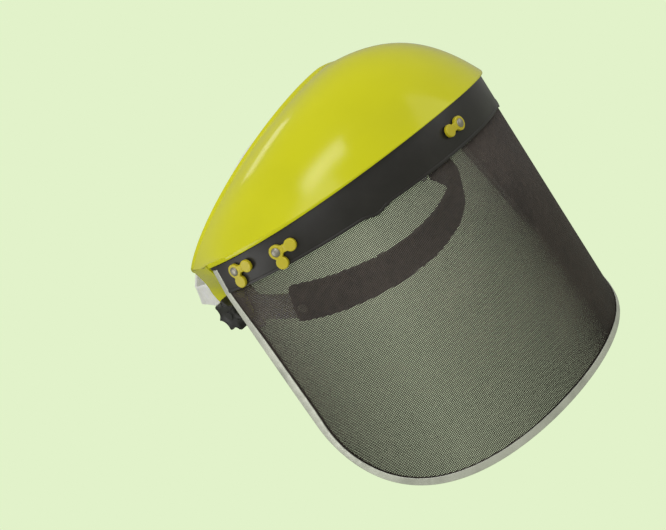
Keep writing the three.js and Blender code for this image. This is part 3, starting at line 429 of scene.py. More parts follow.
def woven_fabric(name, color, scale=1500):
    """A tight knitted cover: crossed threads, with nap, lint and softly worn high spots."""
    m = Nodes(name)
    warp = m.add("ShaderNodeTexWave", wave_type="BANDS", bands_direction="Z")
    weft = m.add("ShaderNodeTexWave", wave_type="BANDS", bands_direction="DIAGONAL")
    for wave, size in ((warp, scale), (weft, scale * 0.62)):
        wave.inputs["Scale"].default_value = size / 2
        wave.inputs["Distortion"].default_value = 1.5
        wave.inputs["Detail"].default_value = 1.0
        m.link(m.coordinates, wave.inputs["Vector"])
    threads = m.math("MULTIPLY", warp.outputs["Fac"], weft.outputs["Fac"])
    nap = m.noise(420, 6, 0.7)
    broad = m.noise(30, 3)
    soft = m.math("MULTIPLY", m.math("ADD", nap, broad), 0.33)
    mix = m.math("ADD", m.math("MULTIPLY", threads, 0.35), soft)
    m.mottle(mix, color, (0.25, 0.55), (0.5, 1.0), (0.78, 1.7))
    m.link(m.span(nap, 0.72, 0.95, 0.3, 0.7), m.shader.inputs["Roughness"])
    m.bump((broad, 0.3, 0.5), (threads, 0.5, 0.12), (nap, 0.35, 0.1))
    m.set(Sheen_Weight=0.25, Sheen_Roughness=0.5, Specular_IOR_Level=0.3)
    return m.material


def let_light_through(material):
    """Thin natural plastic: light from behind shows through it."""
    shader = next(node for node in material.node_tree.nodes if node.type == "BSDF_PRINCIPLED")
    shader.inputs["Subsurface Weight"].default_value = 0.85
    shader.inputs["Subsurface Radius"].default_value = (0.007, 0.007, 0.006)
    shader.inputs["Subsurface Scale"].default_value = 1.0


YELLOW = glossy_plastic("guard_plastic", linear(214, 213, 10), 0.15)
BUTTON_YELLOW = glossy_plastic("button_plastic", linear(205, 190, 38), 0.3)
BAND_BLACK = matte_plastic("band_plastic", linear(42, 40, 37), 0.33, grain=1500, depth=0.03)
BACKING_BLACK = matte_plastic("backing_plastic", linear(40, 39, 37), 0.6)
KNOB_BLACK = matte_plastic("knob_plastic", linear(40, 40, 37), 0.42)
WASHER_BLACK = matte_plastic("washer_plastic", linear(45, 44, 42), 0.7)
PALE_PLASTIC = matte_plastic("headgear_plastic", linear(246, 247, 230), 0.42, grain=1200, depth=0.03)
let_light_through(PALE_PLASTIC)
WIRE = wire_finish("wire_mesh", linear(78, 70, 64))
ALUMINIUM = metal("binding_metal", linear(220, 222, 208), 0.34, (1, 1, 14), 0.55)
RIVET_METAL = metal("pin_metal", linear(176, 172, 158), 0.36)
BOLT_STEEL = metal("bolt_steel", linear(170, 170, 165), 0.34)
BRASS = metal("insert_brass", linear(206, 170, 96), 0.32)
SWEATBAND_CLOTH = woven_fabric("sweatband_cover", linear(38, 37, 36))
PAD_CLOTH = woven_fabric("pad_cover", linear(40, 39, 38))
THREAD = woven_fabric("stitch_thread", linear(88, 86, 82), 4000)


def finished(obj, body, slot, *nodes):
    """Hangs the piece on its body and hides the CAD nodes it stands for. The slot argument is not used."""
    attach(obj, body)
    if nodes:
        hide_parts(*nodes)


def add_piece(name, data, finish, sharp, body, slot, *nodes):
    finished(make_mesh(name, *data, finish, sharp), body, slot, *nodes)


# ---- the visor's surface

QUARTER_ARC = math.pi / 4 * (PLAN_HALF_WIDTH + PLAN_DEPTH)


def angle_at_arc(arc):
    """Angle round the oval plan at a distance along it from the front."""
    mean = (PLAN_HALF_WIDTH + PLAN_DEPTH) / 2
    even = np.asarray(arc, float) / mean
    return even - ((PLAN_HALF_WIDTH - PLAN_DEPTH) / (4 * mean)) * np.sin(2 * even)


def visor_point(angle, z, out):
    """A point of the bent sheet, out millimetres outside its middle."""
    drop = BAND_BOTTOM_Z - z
    return point(
        (PLAN_HALF_WIDTH + FLARE * drop + out) * np.sin(angle),
        PLAN_BACK_Y - (PLAN_DEPTH + TUCK * drop + out) * np.cos(angle),
        z,
    )


def visor_normal(angle, z):
    across = visor_point(angle + 0.01, z, 0) - visor_point(angle - 0.01, z, 0)
    up = visor_point(angle, z + 1, 0) - visor_point(angle, z - 1, 0)
    return unit(np.cross(across, up))


def lip_height(angle):
    """Lower edge of the dome's lip."""
    return LIP_TEMPLE_Z + (LIP_FRONT_Z - LIP_TEMPLE_Z) * np.cos(angle) ** 2


def sheet_top(angle):
    return lip_height(angle) - 0.4 + 1.3 * np.cos(angle) ** 2


def side_arc(drop):
    """The sheet's slanted side edge, as a distance round from the front."""
    return QUARTER_ARC - SIDE_SLANT * np.maximum(drop, 0)


def hang_at(share):
    """The sheet's lower edge, as a drop, at a share of the way round to its side."""
    rounded = (1 - np.minimum(np.abs(share), 1) ** CORNER_ACROSS) ** (1 / CORNER_DOWN)
    return CORNER_START + (SHEET_HANG - CORNER_START) * rounded


def arc_limit(drop):
    """How far round the sheet reaches, from the front, where it has come down by a given drop."""
    low = np.clip((drop - CORNER_START) / (SHEET_HANG - CORNER_START), 0, 1)
    return side_arc(drop) * (1 - low**CORNER_DOWN) ** (1 / CORNER_ACROSS)


# ---- brow guard


def lip_point(angle, inset, z):
    """The lip's outer face, or a face inset millimetres inside it."""
    return point(
        (LIP_HALF_WIDTH - inset) * np.sin(angle),
        PLAN_BACK_Y - (LIP_DEPTH - inset) * np.cos(angle),
        z,
    )


def rim_point(angle, drop=0.0):
    """The dome's upper rim, from temple to temple over the brow."""
    rise = np.maximum(np.cos(angle), 0) ** RIM_RISE
    return point(
        RIM_HALF_WIDTH * np.sign(angle) * np.abs(np.sin(angle)) ** RIM_SPREAD,
        RIM_TEMPLE[0] + (RIM_TOP[0] - RIM_TEMPLE[0]) * rise,
        RIM_TEMPLE[1] + (RIM_TOP[1] - RIM_TEMPLE[1]) * rise - drop,
    )


def dome_rib(foot, head, parts):
    """Points from foot to head of the dome's ribs, (..., parts, 3)."""
    along = 1 - np.cos(parts * math.pi / 2) ** 1.3
    up = 1 - (1 - along) ** DOME_FULLNESS
    way = (head - foot)[..., None, :]
    share = np.stack([along, along, up], axis=1)
    return foot[..., None, :] + way * share


def dome_foot(angle):
    """Where the dome rises from the lip."""
    return lip_height(angle) + LIP_FRONT_HEIGHT + (LIP_TEMPLE_HEIGHT - LIP_FRONT_HEIGHT) * np.sin(angle) ** 2


RIB_TURNS = (-62, -38, -13, 13, 38, 62)


def make_brow_guard():
    """The dome's shell with its rim bead, its lip and the flange inside, the two tabs and the ribs."""
    bend = np.linspace(-1, 1, 181)
    angle = np.radians(90) * (1.15 * bend - 0.15 * bend**3)
    foot_z = dome_foot(angle)
    outer = dome_rib(lip_point(angle, 0, foot_z), rim_point(angle), np.linspace(0, 1, 33))
    inner_foot = lip_point(angle, LIP_THICKNESS, foot_z)
    inner = dome_rib(inner_foot, rim_point(angle, SHELL_THICKNESS), np.linspace(0, 1, 25))
    rim = rim_point(angle)
    turns = np.radians(np.linspace(120, -80, 11))
    bead_middle = rim + np.array([0, 0.25, -0.25]) * RIM_BEAD
    bead = bead_middle[:, None, :] + RIM_BEAD * np.stack([0 * turns, np.cos(turns), np.sin(turns)], axis=1)
    flange_row = 6
    flange_top = inner[:, flange_row, 2] - 1.0
    inside = -FLANGE_OUT - FLANGE_THICKNESS
    groove_z = sheet_top(angle) + 0.6
    foot = 0 * angle + FLANGE_BOTTOM_Z
    tail = [
        (visor_point(angle, flange_top, inside), 1.2),
        (visor_point(angle, foot, inside), 0.8),
        (visor_point(angle, foot, -FLANGE_OUT), 0.8),
        (visor_point(angle, groove_z, -FLANGE_OUT), 0),
        (lip_point(angle, LIP_THICKNESS, groove_z), 0),
        (lip_point(angle, LIP_THICKNESS, lip_height(angle)), 0.45),
        (lip_point(angle, 0, lip_height(angle)), 0.45),
    ]
    inner_rows = inner[:, flange_row + 1 : -1][:, ::-1]
    rings = np.concatenate([outer[:, :-1], bead, inner_rows, np.stack([p for p, _ in tail], axis=1)], axis=1)
    radii = [0.0] * (rings.shape[1] - len(tail)) + [r for _, r in tail]
    parts = [loft_data(round_corners(rings, radii, 2))]
    parts += [loft_data(temple_tab_rings(sign)) for sign in (LEFT, RIGHT)]
    parts += [gusset_data(math.radians(turn)) for turn in RIB_TURNS]
    add_piece("brow_guard_moulding", joined(parts), YELLOW, 50, "guard", "guard_plastic", "brow_guard")


def temple_tab_rings(sign):
    """A tab: down and in from the dome's corner to the knee, then flat round the pivot."""
    heights = np.array([RIM_TEMPLE[1] - 1.0, 31, 25, 19, TAB_KNEE_Z, 6, 0])
    across = np.array([RIM_HALF_WIDTH + 0.9, 115.6, 113.4, 111.0, TAB_OUT + 0.25, TAB_OUT, TAB_OUT])
    front = np.array([-22, -19.5, -17, -15, -13.5, -12, -TAB_RADIUS])
    back = np.array([9.4, 10, 10.4, 10.9, 11.3, 11.5, TAB_RADIUS])
    rows = []
    for z in np.linspace(heights[0], 0, 26):
        rows.append([z, *(np.interp(z, heights[::-1], values[::-1]) for values in (across, front, back))])
    for turn in np.radians(np.linspace(6, 87, 14)):
        reach = TAB_RADIUS * math.cos(turn)
        rows.append([-TAB_RADIUS * math.sin(turn), TAB_OUT, -reach, reach])
    rings = []
    for z, x, y0, y1 in rows:
        y1 += TAB_HEEL * math.exp(-(((z - TAB_KNEE_Z) / TAB_HEEL_SPREAD) ** 2))
        half = (y1 - y0) / 2
        box = rounded_box(half, TAB_THICKNESS / 2, min(0.8, half * 0.8), 3)
        y = (y0 + y1) / 2 + box[:, 0]
        # the top edge leans out and climbs forward along the dome's end
        forward = (y1 - y) / (y1 - y0)
        lean = TAB_LEAN * smooth_step(z, TAB_KNEE_Z, heights[0]) * forward
        climb = TAB_CLIMB * smooth_step(z, 28, heights[0]) * forward
        rings.append(point(sign * (x + lean - TAB_THICKNESS / 2 + box[:, 1]), y, z + climb))
    return np.array(rings)


def gusset_data(angle):
    """A thin rib in the corner between the flange and the dome."""
    at = np.array([angle])
    foot = lip_point(at, LIP_THICKNESS, dome_foot(at))
    rib = dome_rib(foot, rim_point(at, SHELL_THICKNESS), np.linspace(0.28, 0.62, 9))[0]
    base = visor_point(at, 26.0, -FLANGE_OUT - FLANGE_THICKNESS + 0.4)[0]
    top = visor_point(at, float(rib[0, 2]) - 2.5, -FLANGE_OUT - FLANGE_THICKNESS - 1.2)[0]
    outline = np.vstack([base, top, rib + np.array([0, 0, 0.2])])
    side = np.array([math.cos(angle), math.sin(angle), 0.0]) * 0.7
    return loft_data(np.array([outline - side, outline + side]))


# ---- visor


WIRE_PITCH, WIRE_WIDE, WIRE_DEEP, WIRE_OFFSET, WIRE_END = 1.0, 0.255, 0.16, 0.14, 0.3


def make_wire_mesh():
    """The visor's cloth of wires: uprights outside and cross wires inside, each a four-sided wire."""
    parts = []

    def add_wire(middle, side, out):
        corners = np.array([[-1, -1], [1, -1], [1, 1], [-1, 1]]) * (WIRE_WIDE, WIRE_DEEP)
        sideways, outwards_by = side[:, None] * corners[:, :1], out[:, None] * corners[:, 1:]
        parts.append(loft_data(middle[:, None] + sideways + outwards_by))

    reach = QUARTER_ARC - 0.4
    drops = np.linspace(-20, SHEET_HANG - WIRE_END, 600)
    for arc in np.arange(-reach, reach + 0.01, WIRE_PITCH):
        lowest = drops[arc_limit(drops) > abs(arc) + WIRE_END].max()
        angle = float(angle_at_arc(arc))
        ends = np.array([sheet_top(angle) - WIRE_END, BAND_BOTTOM_Z - lowest])
        middle = visor_point(angle, ends, WIRE_OFFSET)
        out = visor_normal(angle, ends)
        add_wire(middle, unit(np.cross(middle[0] - middle[1], out)), out)
    for z in np.arange(BAND_BOTTOM_Z - SHEET_HANG + 0.8, LIP_TEMPLE_Z - 1.0, WIRE_PITCH):
        limit = float(arc_limit(BAND_BOTTOM_Z - z)) - WIRE_END
        if limit < 3:
            continue
        angle = angle_at_arc(np.linspace(-limit, limit, max(8, int(limit / 2.2))))
        middle = visor_point(angle, z, -WIRE_OFFSET)
        out = visor_normal(angle, z + 0 * angle)
        add_wire(middle, unit(np.cross(out, np.gradient(middle, axis=0))), out)
    add_piece("visor_wire_cloth", joined(parts), WIRE, 180, "guard", "wire_mesh", "visor_mesh")


def edge_path(side_steps, bottom_steps):
    """Angle and height round the sheet's edge, from the top of its right side to the top of its left."""
    side_z = np.linspace(BINDING_TOP_Z, BAND_BOTTOM_Z - CORNER_START, side_steps)[:-1]
    shares = np.sin(np.radians(np.linspace(-90, 90, bottom_steps)))
    bottom_z = BAND_BOTTOM_Z - hang_at(shares)
    bottom_angle = angle_at_arc(shares * side_arc(hang_at(shares)))
    side_angle = angle_at_arc(side_arc(BAND_BOTTOM_Z - side_z))
    angle = np.concatenate([-side_angle, bottom_angle, side_angle[::-1]])
    z = np.concatenate([side_z, bottom_z, side_z[::-1]])
    return angle, z


CRIMP_PITCH = 9.0


def make_binding():
    """A strip of soft aluminium folded over the edge and crimped: its faces dip a little at each bite."""
    slot = SHEET_THICKNESS / 2 + 0.15
    thick = BINDING_HALF_THICKNESS
    outline = np.array(
        [[-BINDING_OUT, -thick], [BINDING_IN, -thick], [BINDING_IN, -slot], [-GAP, -slot],
         [-GAP, slot], [BINDING_IN, slot], [BINDING_IN, thick], [-BINDING_OUT, thick]]
    )
    outline = round_corners(outline, [0.95, 0.3, 0.3, 0, 0, 0.3, 0.3, 0.95], 4)
    angle, z = edge_path(180, 420)
    middle = visor_point(angle, z, 0)
    length = length_along(middle)
    along = unit(np.gradient(middle, axis=0))
    out = visor_normal(angle, z)
    out = unit(out - along * np.sum(out * along, axis=1, keepdims=True))
    inward = np.cross(along, out)
    bites = 0.5 + 0.5 * np.cos(2 * math.pi * length / CRIMP_PITCH)
    waver = 0.12 * np.sin(length / 37.0) + 0.07 * np.sin(length / 11.3)
    # the fold reaches further in along the sides than round the bottom
    wider = 1.9 * smooth_step(-z, -17, 25) * smooth_step(z, -110, -70)
    u = np.where(outline[:, 0] > 1, outline[:, 0] + (waver + wider)[:, None], outline[:, 0])
    squeeze = 1 - 0.10 * (bites**4)[:, None] * (outline[:, 0] > 0.5)
    v = outline[:, 1] * np.where(np.abs(outline[:, 1]) > slot + 0.1, squeeze, 1)
    rings = middle[:, None] - inward[:, None] * u[..., None] + out[:, None] * v[..., None]
    data = loft_data(rings)
    add_piece("visor_edge_channel", data, ALUMINIUM, 50, "guard", "binding_metal", "visor_edge_binding")


def strip_rings(arc, bottom, top, inner, outer, radius=0.4):
    """Rings of a strip bent round the visor, between heights that are functions of the angle."""
    angle = angle_at_arc(np.linspace(-arc, arc, 400))
    corners = [(inner, bottom), (outer, bottom), (outer, top), (inner, top)]
    rings = np.stack([visor_point(angle, z(angle) + 0 * angle, out) for out, z in corners], axis=1)
    return round_corners(rings, [radius] * 4, 3)


def make_bands():
    """The strip along the visor's top edge, with its hem and its two ends, and the strip behind it."""
    inner = SHEET_THICKNESS / 2 + 0.1
    outer = SHEET_THICKNESS / 2 + GAP + BAND_THICKNESS

    def scalloped(angle):
        away = (np.abs(np.degrees(angle)) - SCALLOP_ANGLE) / SCALLOP_SPREAD
        return BAND_BOTTOM_Z - SCALLOP_DROP * np.exp(-away * away)

    arc = QUARTER_ARC - BINDING_IN - 2 * GAP
    parts = [loft_data(strip_rings(arc, scalloped, sheet_top, inner, outer))]
    # a raised hem along the lower edge, as the strip is folded over there
    hem = strip_rings(arc, scalloped, lambda a: scalloped(a) + 2.0, outer - 0.3, outer + 0.3, 0.45)
    parts.append(loft_data(hem))
    for sign in (LEFT, RIGHT):
        angle = sign * angle_at_arc(np.linspace(arc - 3, QUARTER_ARC + 0.6, 8))
        low, high = BINDING_TOP_Z + 2 * GAP, sheet_top(angle) - 0.05
        near, far = inner + 0.02, outer - 0.02
        corners = [(near, low), (far, low), (far, high), (near, high)]
        rings = np.stack([visor_point(angle, z, out) for out, z in corners], axis=1)
        parts.append(loft_data(round_corners(rings, [0.3] * 4, 2)))
    add_piece("visor_top_strip", joined(parts), BAND_BLACK, 45, "guard", "band_plastic", "visor_top_band")
    backing = loft_data(strip_rings(arc, lambda a: BACKING_BOTTOM_Z, sheet_top, -inner - GAP - 1.0, -inner))
    finish, node = BACKING_BLACK, "visor_backing_band"
    add_piece("visor_backing_strip", backing, finish, 40, "guard", "backing_plastic", node)


def button_frame(degrees, z):
    angle = np.array(math.radians(degrees))
    out = visor_normal(angle, z)
    side = unit(np.cross(UP, out))
    return frame_matrix(side, np.cross(out, side), out, visor_point(angle, z, 0))


BUTTON_VOXEL = 0.28


def make_button(name, degrees, z, arms):
    """A hub and its arms with round ends, melted into one moulding with soft edges."""
    base = SHEET_THICKNESS / 2 + BAND_THICKNESS + 2 * GAP
    turns = full_turn(48)
    parts = []

    def add_slab(x, y, inset=0.0):
        parts.append(loft_data(point(x, y, np.array([[base + inset], [base + BUTTON_THICKNESS - inset]]))))

    def add_disc(x, y, radius):
        add_slab(x + radius * np.cos(turns), y + radius * np.sin(turns))

    add_disc(0, 0, BUTTON_HUB_RADIUS)
    for turn in arms:
        way = np.array([math.cos(math.radians(turn)), math.sin(math.radians(turn))])
        end = way * (BUTTON_SHORT_ARM if turn == DOWN else BUTTON_ARM)
        add_disc(*end, BUTTON_LOBE_RADIUS)
        across = np.array([-way[1], way[0]]) * BUTTON_NECK
        add_slab(*np.array([across, across + end, end - across, -across]).T, 0.25)
    raw = make_mesh("raw_button", *joined(parts), BUTTON_YELLOW)
    remesh = raw.modifiers.new("remesh", "REMESH")
    remesh.mode, remesh.voxel_size = "VOXEL", BUTTON_VOXEL * MM
    melt = raw.modifiers.new("melt", "SMOOTH")
    melt.factor, melt.iterations = 0.5, 7
    mesh = baked(raw)
    bpy.data.objects.remove(raw)
    mesh.transform(metre_matrix(button_frame(degrees, z)))
    obj = add_object(f"turn_button_{name}_moulding", mesh)
    finished(obj, f"button_{name}", "button_plastic", f"turn_button_{name}")


def metre_matrix(matrix):
    """A millimetre frame as a Blender matrix for a mesh already in metres."""
    scaled = np.array(matrix, float)
    scaled[:3, 3] *= MM
    return Matrix(scaled.tolist())


def baked(obj):
    """The mesh an object's modifiers make, with smooth faces."""
    graph = bpy.context.evaluated_depsgraph_get()
    mesh = bpy.data.meshes.new_from_object(obj.evaluated_get(graph))
    mesh.polygons.foreach_set("use_smooth", [True] * len(mesh.polygons))
    return mesh


def make_button_pin(name, degrees, z):
    inside = -FLANGE_OUT - FLANGE_THICKNESS - GAP
    outside = SHEET_THICKNESS / 2 + BAND_THICKNESS + BUTTON_THICKNESS + 2.4 * GAP
    profile = rivet_profile(inside, outside, PIN_RADIUS, PIN_HEAD_RADIUS, 0.95)
    data = lathe_data(profile, button_frame(degrees, z))
    add_piece(f"button_rivet_{name}", data, RIVET_METAL, 50, "guard", "pin_metal", f"button_pin_{name}")


make_brow_guard()
make_wire_mesh()
make_binding()
make_bands()
for button in BUTTONS:
    make_button(*button)
    make_button_pin(*button[:3])


# ---- headgear


def forehead(turn):
    """Middle of the headband and its outward direction at turns from the front, in degrees."""
    angle = np.radians(np.asarray(turn, float))
    at = point(HEAD_HALF_WIDTH * np.sin(angle), PLATE_FLAT_Y - HEAD_DEPTH * np.cos(angle), 0)
    return at, unit(point(HEAD_DEPTH * np.sin(angle), -HEAD_HALF_WIDTH * np.cos(angle), 0))


def swept(at, out, outline):
    """Rings of an outline in (outwards, up) carried along the middle points. It may differ at each point."""
    outline = np.broadcast_to(outline, (len(at), *np.shape(outline)[-2:]))
    return at[:, None] + out[:, None] * outline[..., :1] + UP * outline[..., 1:]


def make_headband():
    """The band round the forehead, which widens into a plate at each temple."""
    rear = np.linspace(PLATE_REAR_Y, -7, 34)
    at, out = forehead(np.linspace(-90, 90, 121))
    at = np.vstack([point(-HEAD_HALF_WIDTH, rear, 0), at, point(HEAD_HALF_WIDTH, rear[::-1], 0)])
    out = np.vstack([point(-1, 0 * rear, 0), out, point(1, 0 * rear, 0)])
    y = at[:, 1]
    wide = smooth_step(y, PLATE_FRONT_Y, PLATE_FRONT_Y + 6) - smooth_step(y, 8, PLATE_REAR_Y)
    half = HEADBAND_HALF_HEIGHT + (PLATE_HALF_HEIGHT - HEADBAND_HALF_HEIGHT) * wide
    thick = HEADBAND_THICKNESS / 2
    # a raised rim along the plate's edges, moulded on its outer face
    rim = 0.55 * smooth_step(wide, 0.05, 0.4)
    outline = []
    for h, r in zip(half, rim):
        corners = [(-thick, -h), (thick + r, -h), (thick + r, -h + 1.6), (thick, -h + 2.2),
                   (thick, h - 2.2), (thick + r, h - 1.6), (thick + r, h), (-thick, h)]
        outline.append(round_corners(np.array(corners), [0.7, 0.5, 0.3, 0.2, 0.2, 0.3, 0.5, 0.7], 2))
    data = loft_data(pitched(swept(at, out, np.array(outline))))
    add_piece("headband_moulding", data, PALE_PLASTIC, 55, "headgear", "headgear_plastic", "headband")


def settle(obj, pressure, cap, held, voxel):
    """Puffs a pad up with a short cloth simulation, apart from the points that held picks.

    No point moves further than cap millimetres.
    """
    remesh = obj.modifiers.new("remesh", "REMESH")
    remesh.mode, remesh.voxel_size = "VOXEL", voxel * MM
    obj.data = baked(obj)
    obj.modifiers.clear()
    rest = np.array([v.co for v in obj.data.vertices])
    cloth = obj.modifiers.new("cloth", "CLOTH")
    rule = cloth.settings
    rule.quality, rule.mass = 5, 0.15
    rule.tension_stiffness = rule.compression_stiffness = 12
    rule.bending_stiffness = 0.4
    rule.use_pressure, rule.uniform_pressure_force = True, pressure
    rule.effector_weights.gravity = 0
    cloth.collision_settings.use_collision = False
    group = obj.vertex_groups.new(name="held")
    group.add([int(i) for i in np.flatnonzero(held(rest / MM))], 1.0, "REPLACE")
    rule.vertex_group_mass = "held"
    scene = bpy.context.scene
    for step in range(1, 21):
        scene.frame_set(step)
    graph = bpy.context.evaluated_depsgraph_get()
    moved = np.array([v.co for v in obj.evaluated_get(graph).data.vertices])
    obj.modifiers.clear()
    scene.frame_set(1)
    shift = moved - rest
    length = np.linalg.norm(shift, axis=1, keepdims=True)
    rest = rest + shift * np.minimum(1, cap * MM / np.maximum(length, 1e-9))
    obj.data.vertices.foreach_set("co", rest.ravel())
    refine = obj.modifiers.new("refine", "SUBSURF")
    refine.levels = refine.render_levels = 1
    obj.data = baked(obj)
    obj.modifiers.clear()
    return obj


def press_in(obj, measure, depth, width):
    """Pushes the surface in along lines. measure gives each point's distance in mm from its line."""
    co = np.array([v.co for v in obj.data.vertices])
    normal = np.array([v.normal for v in obj.data.vertices])
    near = np.exp(-((measure(co / MM) / width) ** 2))
    co -= normal * near[:, None] * depth * MM
    obj.data.vertices.foreach_set("co", co.ravel())
    obj.data.update()


def band_turn(points):
    """Degrees from the front of points beside the headband."""
    forward = (PLATE_FLAT_Y - points[:, 1]) / HEAD_DEPTH
    return np.degrees(np.arctan2(points[:, 0] / HEAD_HALF_WIDTH, forward))


SEAM_LOW, SEAM_HIGH = -10.6, 11.4
BAND_SEAMS = (-29.0, 31.0)
MM_PER_DEGREE = 1.55  # along the sweatband
STITCH_PITCH, CROSS_STITCH_PITCH, ROWS_APART, THREAD_RADIUS = 3.6, 3.4, 1.9, 0.34


def make_sweatband():
    """A foam sleeve in a knitted cover, sewn shut along its lower edge and joined across at two seams."""
    turns = np.linspace(SWEATBAND_ENDS[RIGHT], SWEATBAND_ENDS[LEFT], 92)
    at, out = forehead(turns)
    middle = (SWEATBAND_OUT - SWEATBAND_IN) / 2
    half = (SWEATBAND_OUT + SWEATBAND_IN) / 2
    outline = rounded_box(half - 0.7, SWEATBAND_HALF_HEIGHT - 0.9, 3.2, 4) + np.array([middle, 0])
    raw = make_mesh("sweatband_cover", *loft_data(pitched(swept(at, out, outline))), SWEATBAND_CLOTH)

    def held(points):
        turn = band_turn(level(points))
        return (turn < SWEATBAND_ENDS[RIGHT] + 2.5) | (turn > SWEATBAND_ENDS[LEFT] - 2.5)

    pad = settle(raw, 5.0, 1.3, held, voxel=2.4)

    press_in(pad, lambda points: level(points)[:, 2] - SEAM_LOW, 0.9, 1.3)
    press_in(pad, lambda points: level(points)[:, 2] - SEAM_HIGH, 0.45, 1.5)
    for seam in BAND_SEAMS:
        press_in(pad, lambda points, seam=seam: (band_turn(level(points)) - seam) * MM_PER_DEGREE, 0.8, 1.3)
    finished(pad, "headgear", "sweatband_cover", "sweatband")
    add_stitches(pad)


def capsule_data(middle, along, out, length, radius):
    """One stitch: a short rounded thread lying along a surface."""
    side = np.cross(out, along)
    shares = np.array([-1.0, -0.92, -0.6, 0.0, 0.6, 0.92, 1.0])
    girth = np.array([0.12, 0.55, 0.95, 1.0, 0.95, 0.55, 0.12]) * radius
    lift = np.array([-0.9, -0.35, 0.25, 0.45, 0.25, -0.35, -0.9]) * radius
    turns = full_turn(6)
    ring = np.cos(turns)[:, None] * side + np.sin(turns)[:, None] * out
    line = middle + shares[:, None] * along * length / 2 + lift[:, None] * out
    return loft_data(line[:, None] + girth[:, None, None] * ring)


def add_stitches(pad):
    """Two rows along the sweatband's lower seam, and one on each side of its cross seams."""
    graph = bpy.context.evaluated_depsgraph_get()
    tree = BVHTree.FromObject(pad, graph)
    parts = []

    def stitch(at, out, along, length):
        start = pitched(at + out * 14)
        toward = -(PITCHED[:3, :3] @ out)
        hit = tree.ray_cast(Vector(start * MM), Vector(toward), 0.03)
        if hit[0] is not None:
            place = np.array(hit[0]) / MM
            way = PITCHED[:3, :3] @ along
            parts.append(capsule_data(place, way, -toward, length, THREAD_RADIUS))

    for z in (SEAM_LOW, SEAM_LOW + ROWS_APART):
        turn = SWEATBAND_ENDS[RIGHT] + 3
        while turn < SWEATBAND_ENDS[LEFT] - 3:
            at, out = forehead(turn)
            ahead, _ = forehead(turn + 0.5)
            stitch(at + z * UP, out, unit(ahead - at), 2.6)
            turn += 0.5 * STITCH_PITCH / np.linalg.norm(ahead - at)
    for seam in BAND_SEAMS:
        for side in (-1.4, 1.4):
            at, out = forehead(seam + side / MM_PER_DEGREE)
            for z in np.arange(SEAM_LOW + STITCH_PITCH, SEAM_HIGH, CROSS_STITCH_PITCH):
                stitch(at + z * UP, out, UP, 2.4)
    add_piece("sweatband_stitching", joined(parts), THREAD, 180, "headgear", "sweatband_cover")


def sweatband_rivet_matrix(sign):
    at, out = forehead(SWEATBAND_ENDS[sign] - sign * SWEATBAND_RIVET_INSET)
    return PITCHED @ frame_matrix([-out[1], out[0], 0], UP, out, at + SWEATBAND_RIVET_Z * UP)


def make_temple(sign):
    """The pieces of one temple's pivot."""
    side = SIDE_NAMES[sign]
    axis = PITCHED @ outwards(sign)
    rivet = rivet_profile(-SWEATBAND_IN - 0.4, SWEATBAND_OUT + 0.1, PIN_RADIUS, 3.2, 0.9)
    data = lathe_data(rivet, sweatband_rivet_matrix(sign))
    node = f"sweatband_rivet_{side}"
    add_piece(f"sweatband_stud_{side}", data, RIVET_METAL, 50, "headgear", "pin_metal", node)

    inner = PLATE_FACE - HEADBAND_THICKNESS - GAP
    end = TAB_OUT + GAP + KNOB_THICKNESS - 3
    head = [(r, inner - 1 - h) for r, h in reversed(dome_head(BOLT_HEAD_RADIUS, 1.6))]
    shank = [(BOLT_RADIUS, inner), (BOLT_RADIUS, end - 0.6), (BOLT_RADIUS - 0.6, end), (0, end)]
    data = lathe_data([*head, (BOLT_HEAD_RADIUS, inner), *shank], axis)
    node = f"pivot_bolt_{side}"
    add_piece(f"pivot_carriage_bolt_{side}", data, BOLT_STEEL, 50, "headgear", "bolt_steel", node)

    inner = PLATE_FACE + GAP
    disc = rounded_box(WASHER_THICKNESS / 2, (WASHER_RADIUS - BOLT_RADIUS - GAP) / 2, 0.4, 3)
    radius = disc[:, 1] + (WASHER_RADIUS + BOLT_RADIUS + GAP) / 2
    turns = full_turn(48)[:, None]
    rings = point(radius * np.cos(turns), radius * np.sin(turns), disc[:, 0] + inner + WASHER_THICKNESS / 2)
    count, size = rings.shape[:2]
    faces = [face for r in range(count) for face in quads(r * size, (r + 1) % count * size, size)]
    data = (through(axis, rings.reshape(-1, 3)), faces)
    node = f"friction_washer_{side}"
    add_piece(f"pivot_washer_{side}", data, WASHER_BLACK, 40, "headgear", "washer_plastic", node)

    inner = TAB_OUT + GAP
    data = knob_data(KNOB_RADIUS + KNOB_LOBE, 3.7, KNOB_LOBES, inner, inner + KNOB_THICKNESS, axis)
    body, node = f"{side}_knob", f"temple_knob_{side}"
    add_piece(f"temple_star_knob_{side}", data, KNOB_BLACK, 45, body, "knob_plastic", node)

    inside = PLATE_FACE - HEADBAND_THICKNESS - 1.4 * GAP - CROWN_THICKNESS
    rivet = rivet_profile(inside, PLATE_FACE + 0.1, PIN_RADIUS, PIN_HEAD_RADIUS, 0.9)
    data = lathe_data(rivet, PITCHED @ outwards(sign, CROWN_RIVET_Z))
    node = f"crown_rivet_{side}"
    add_piece(f"crown_stud_{side}", data, PALE_PLASTIC, 50, "headgear", "headgear_plastic", node)


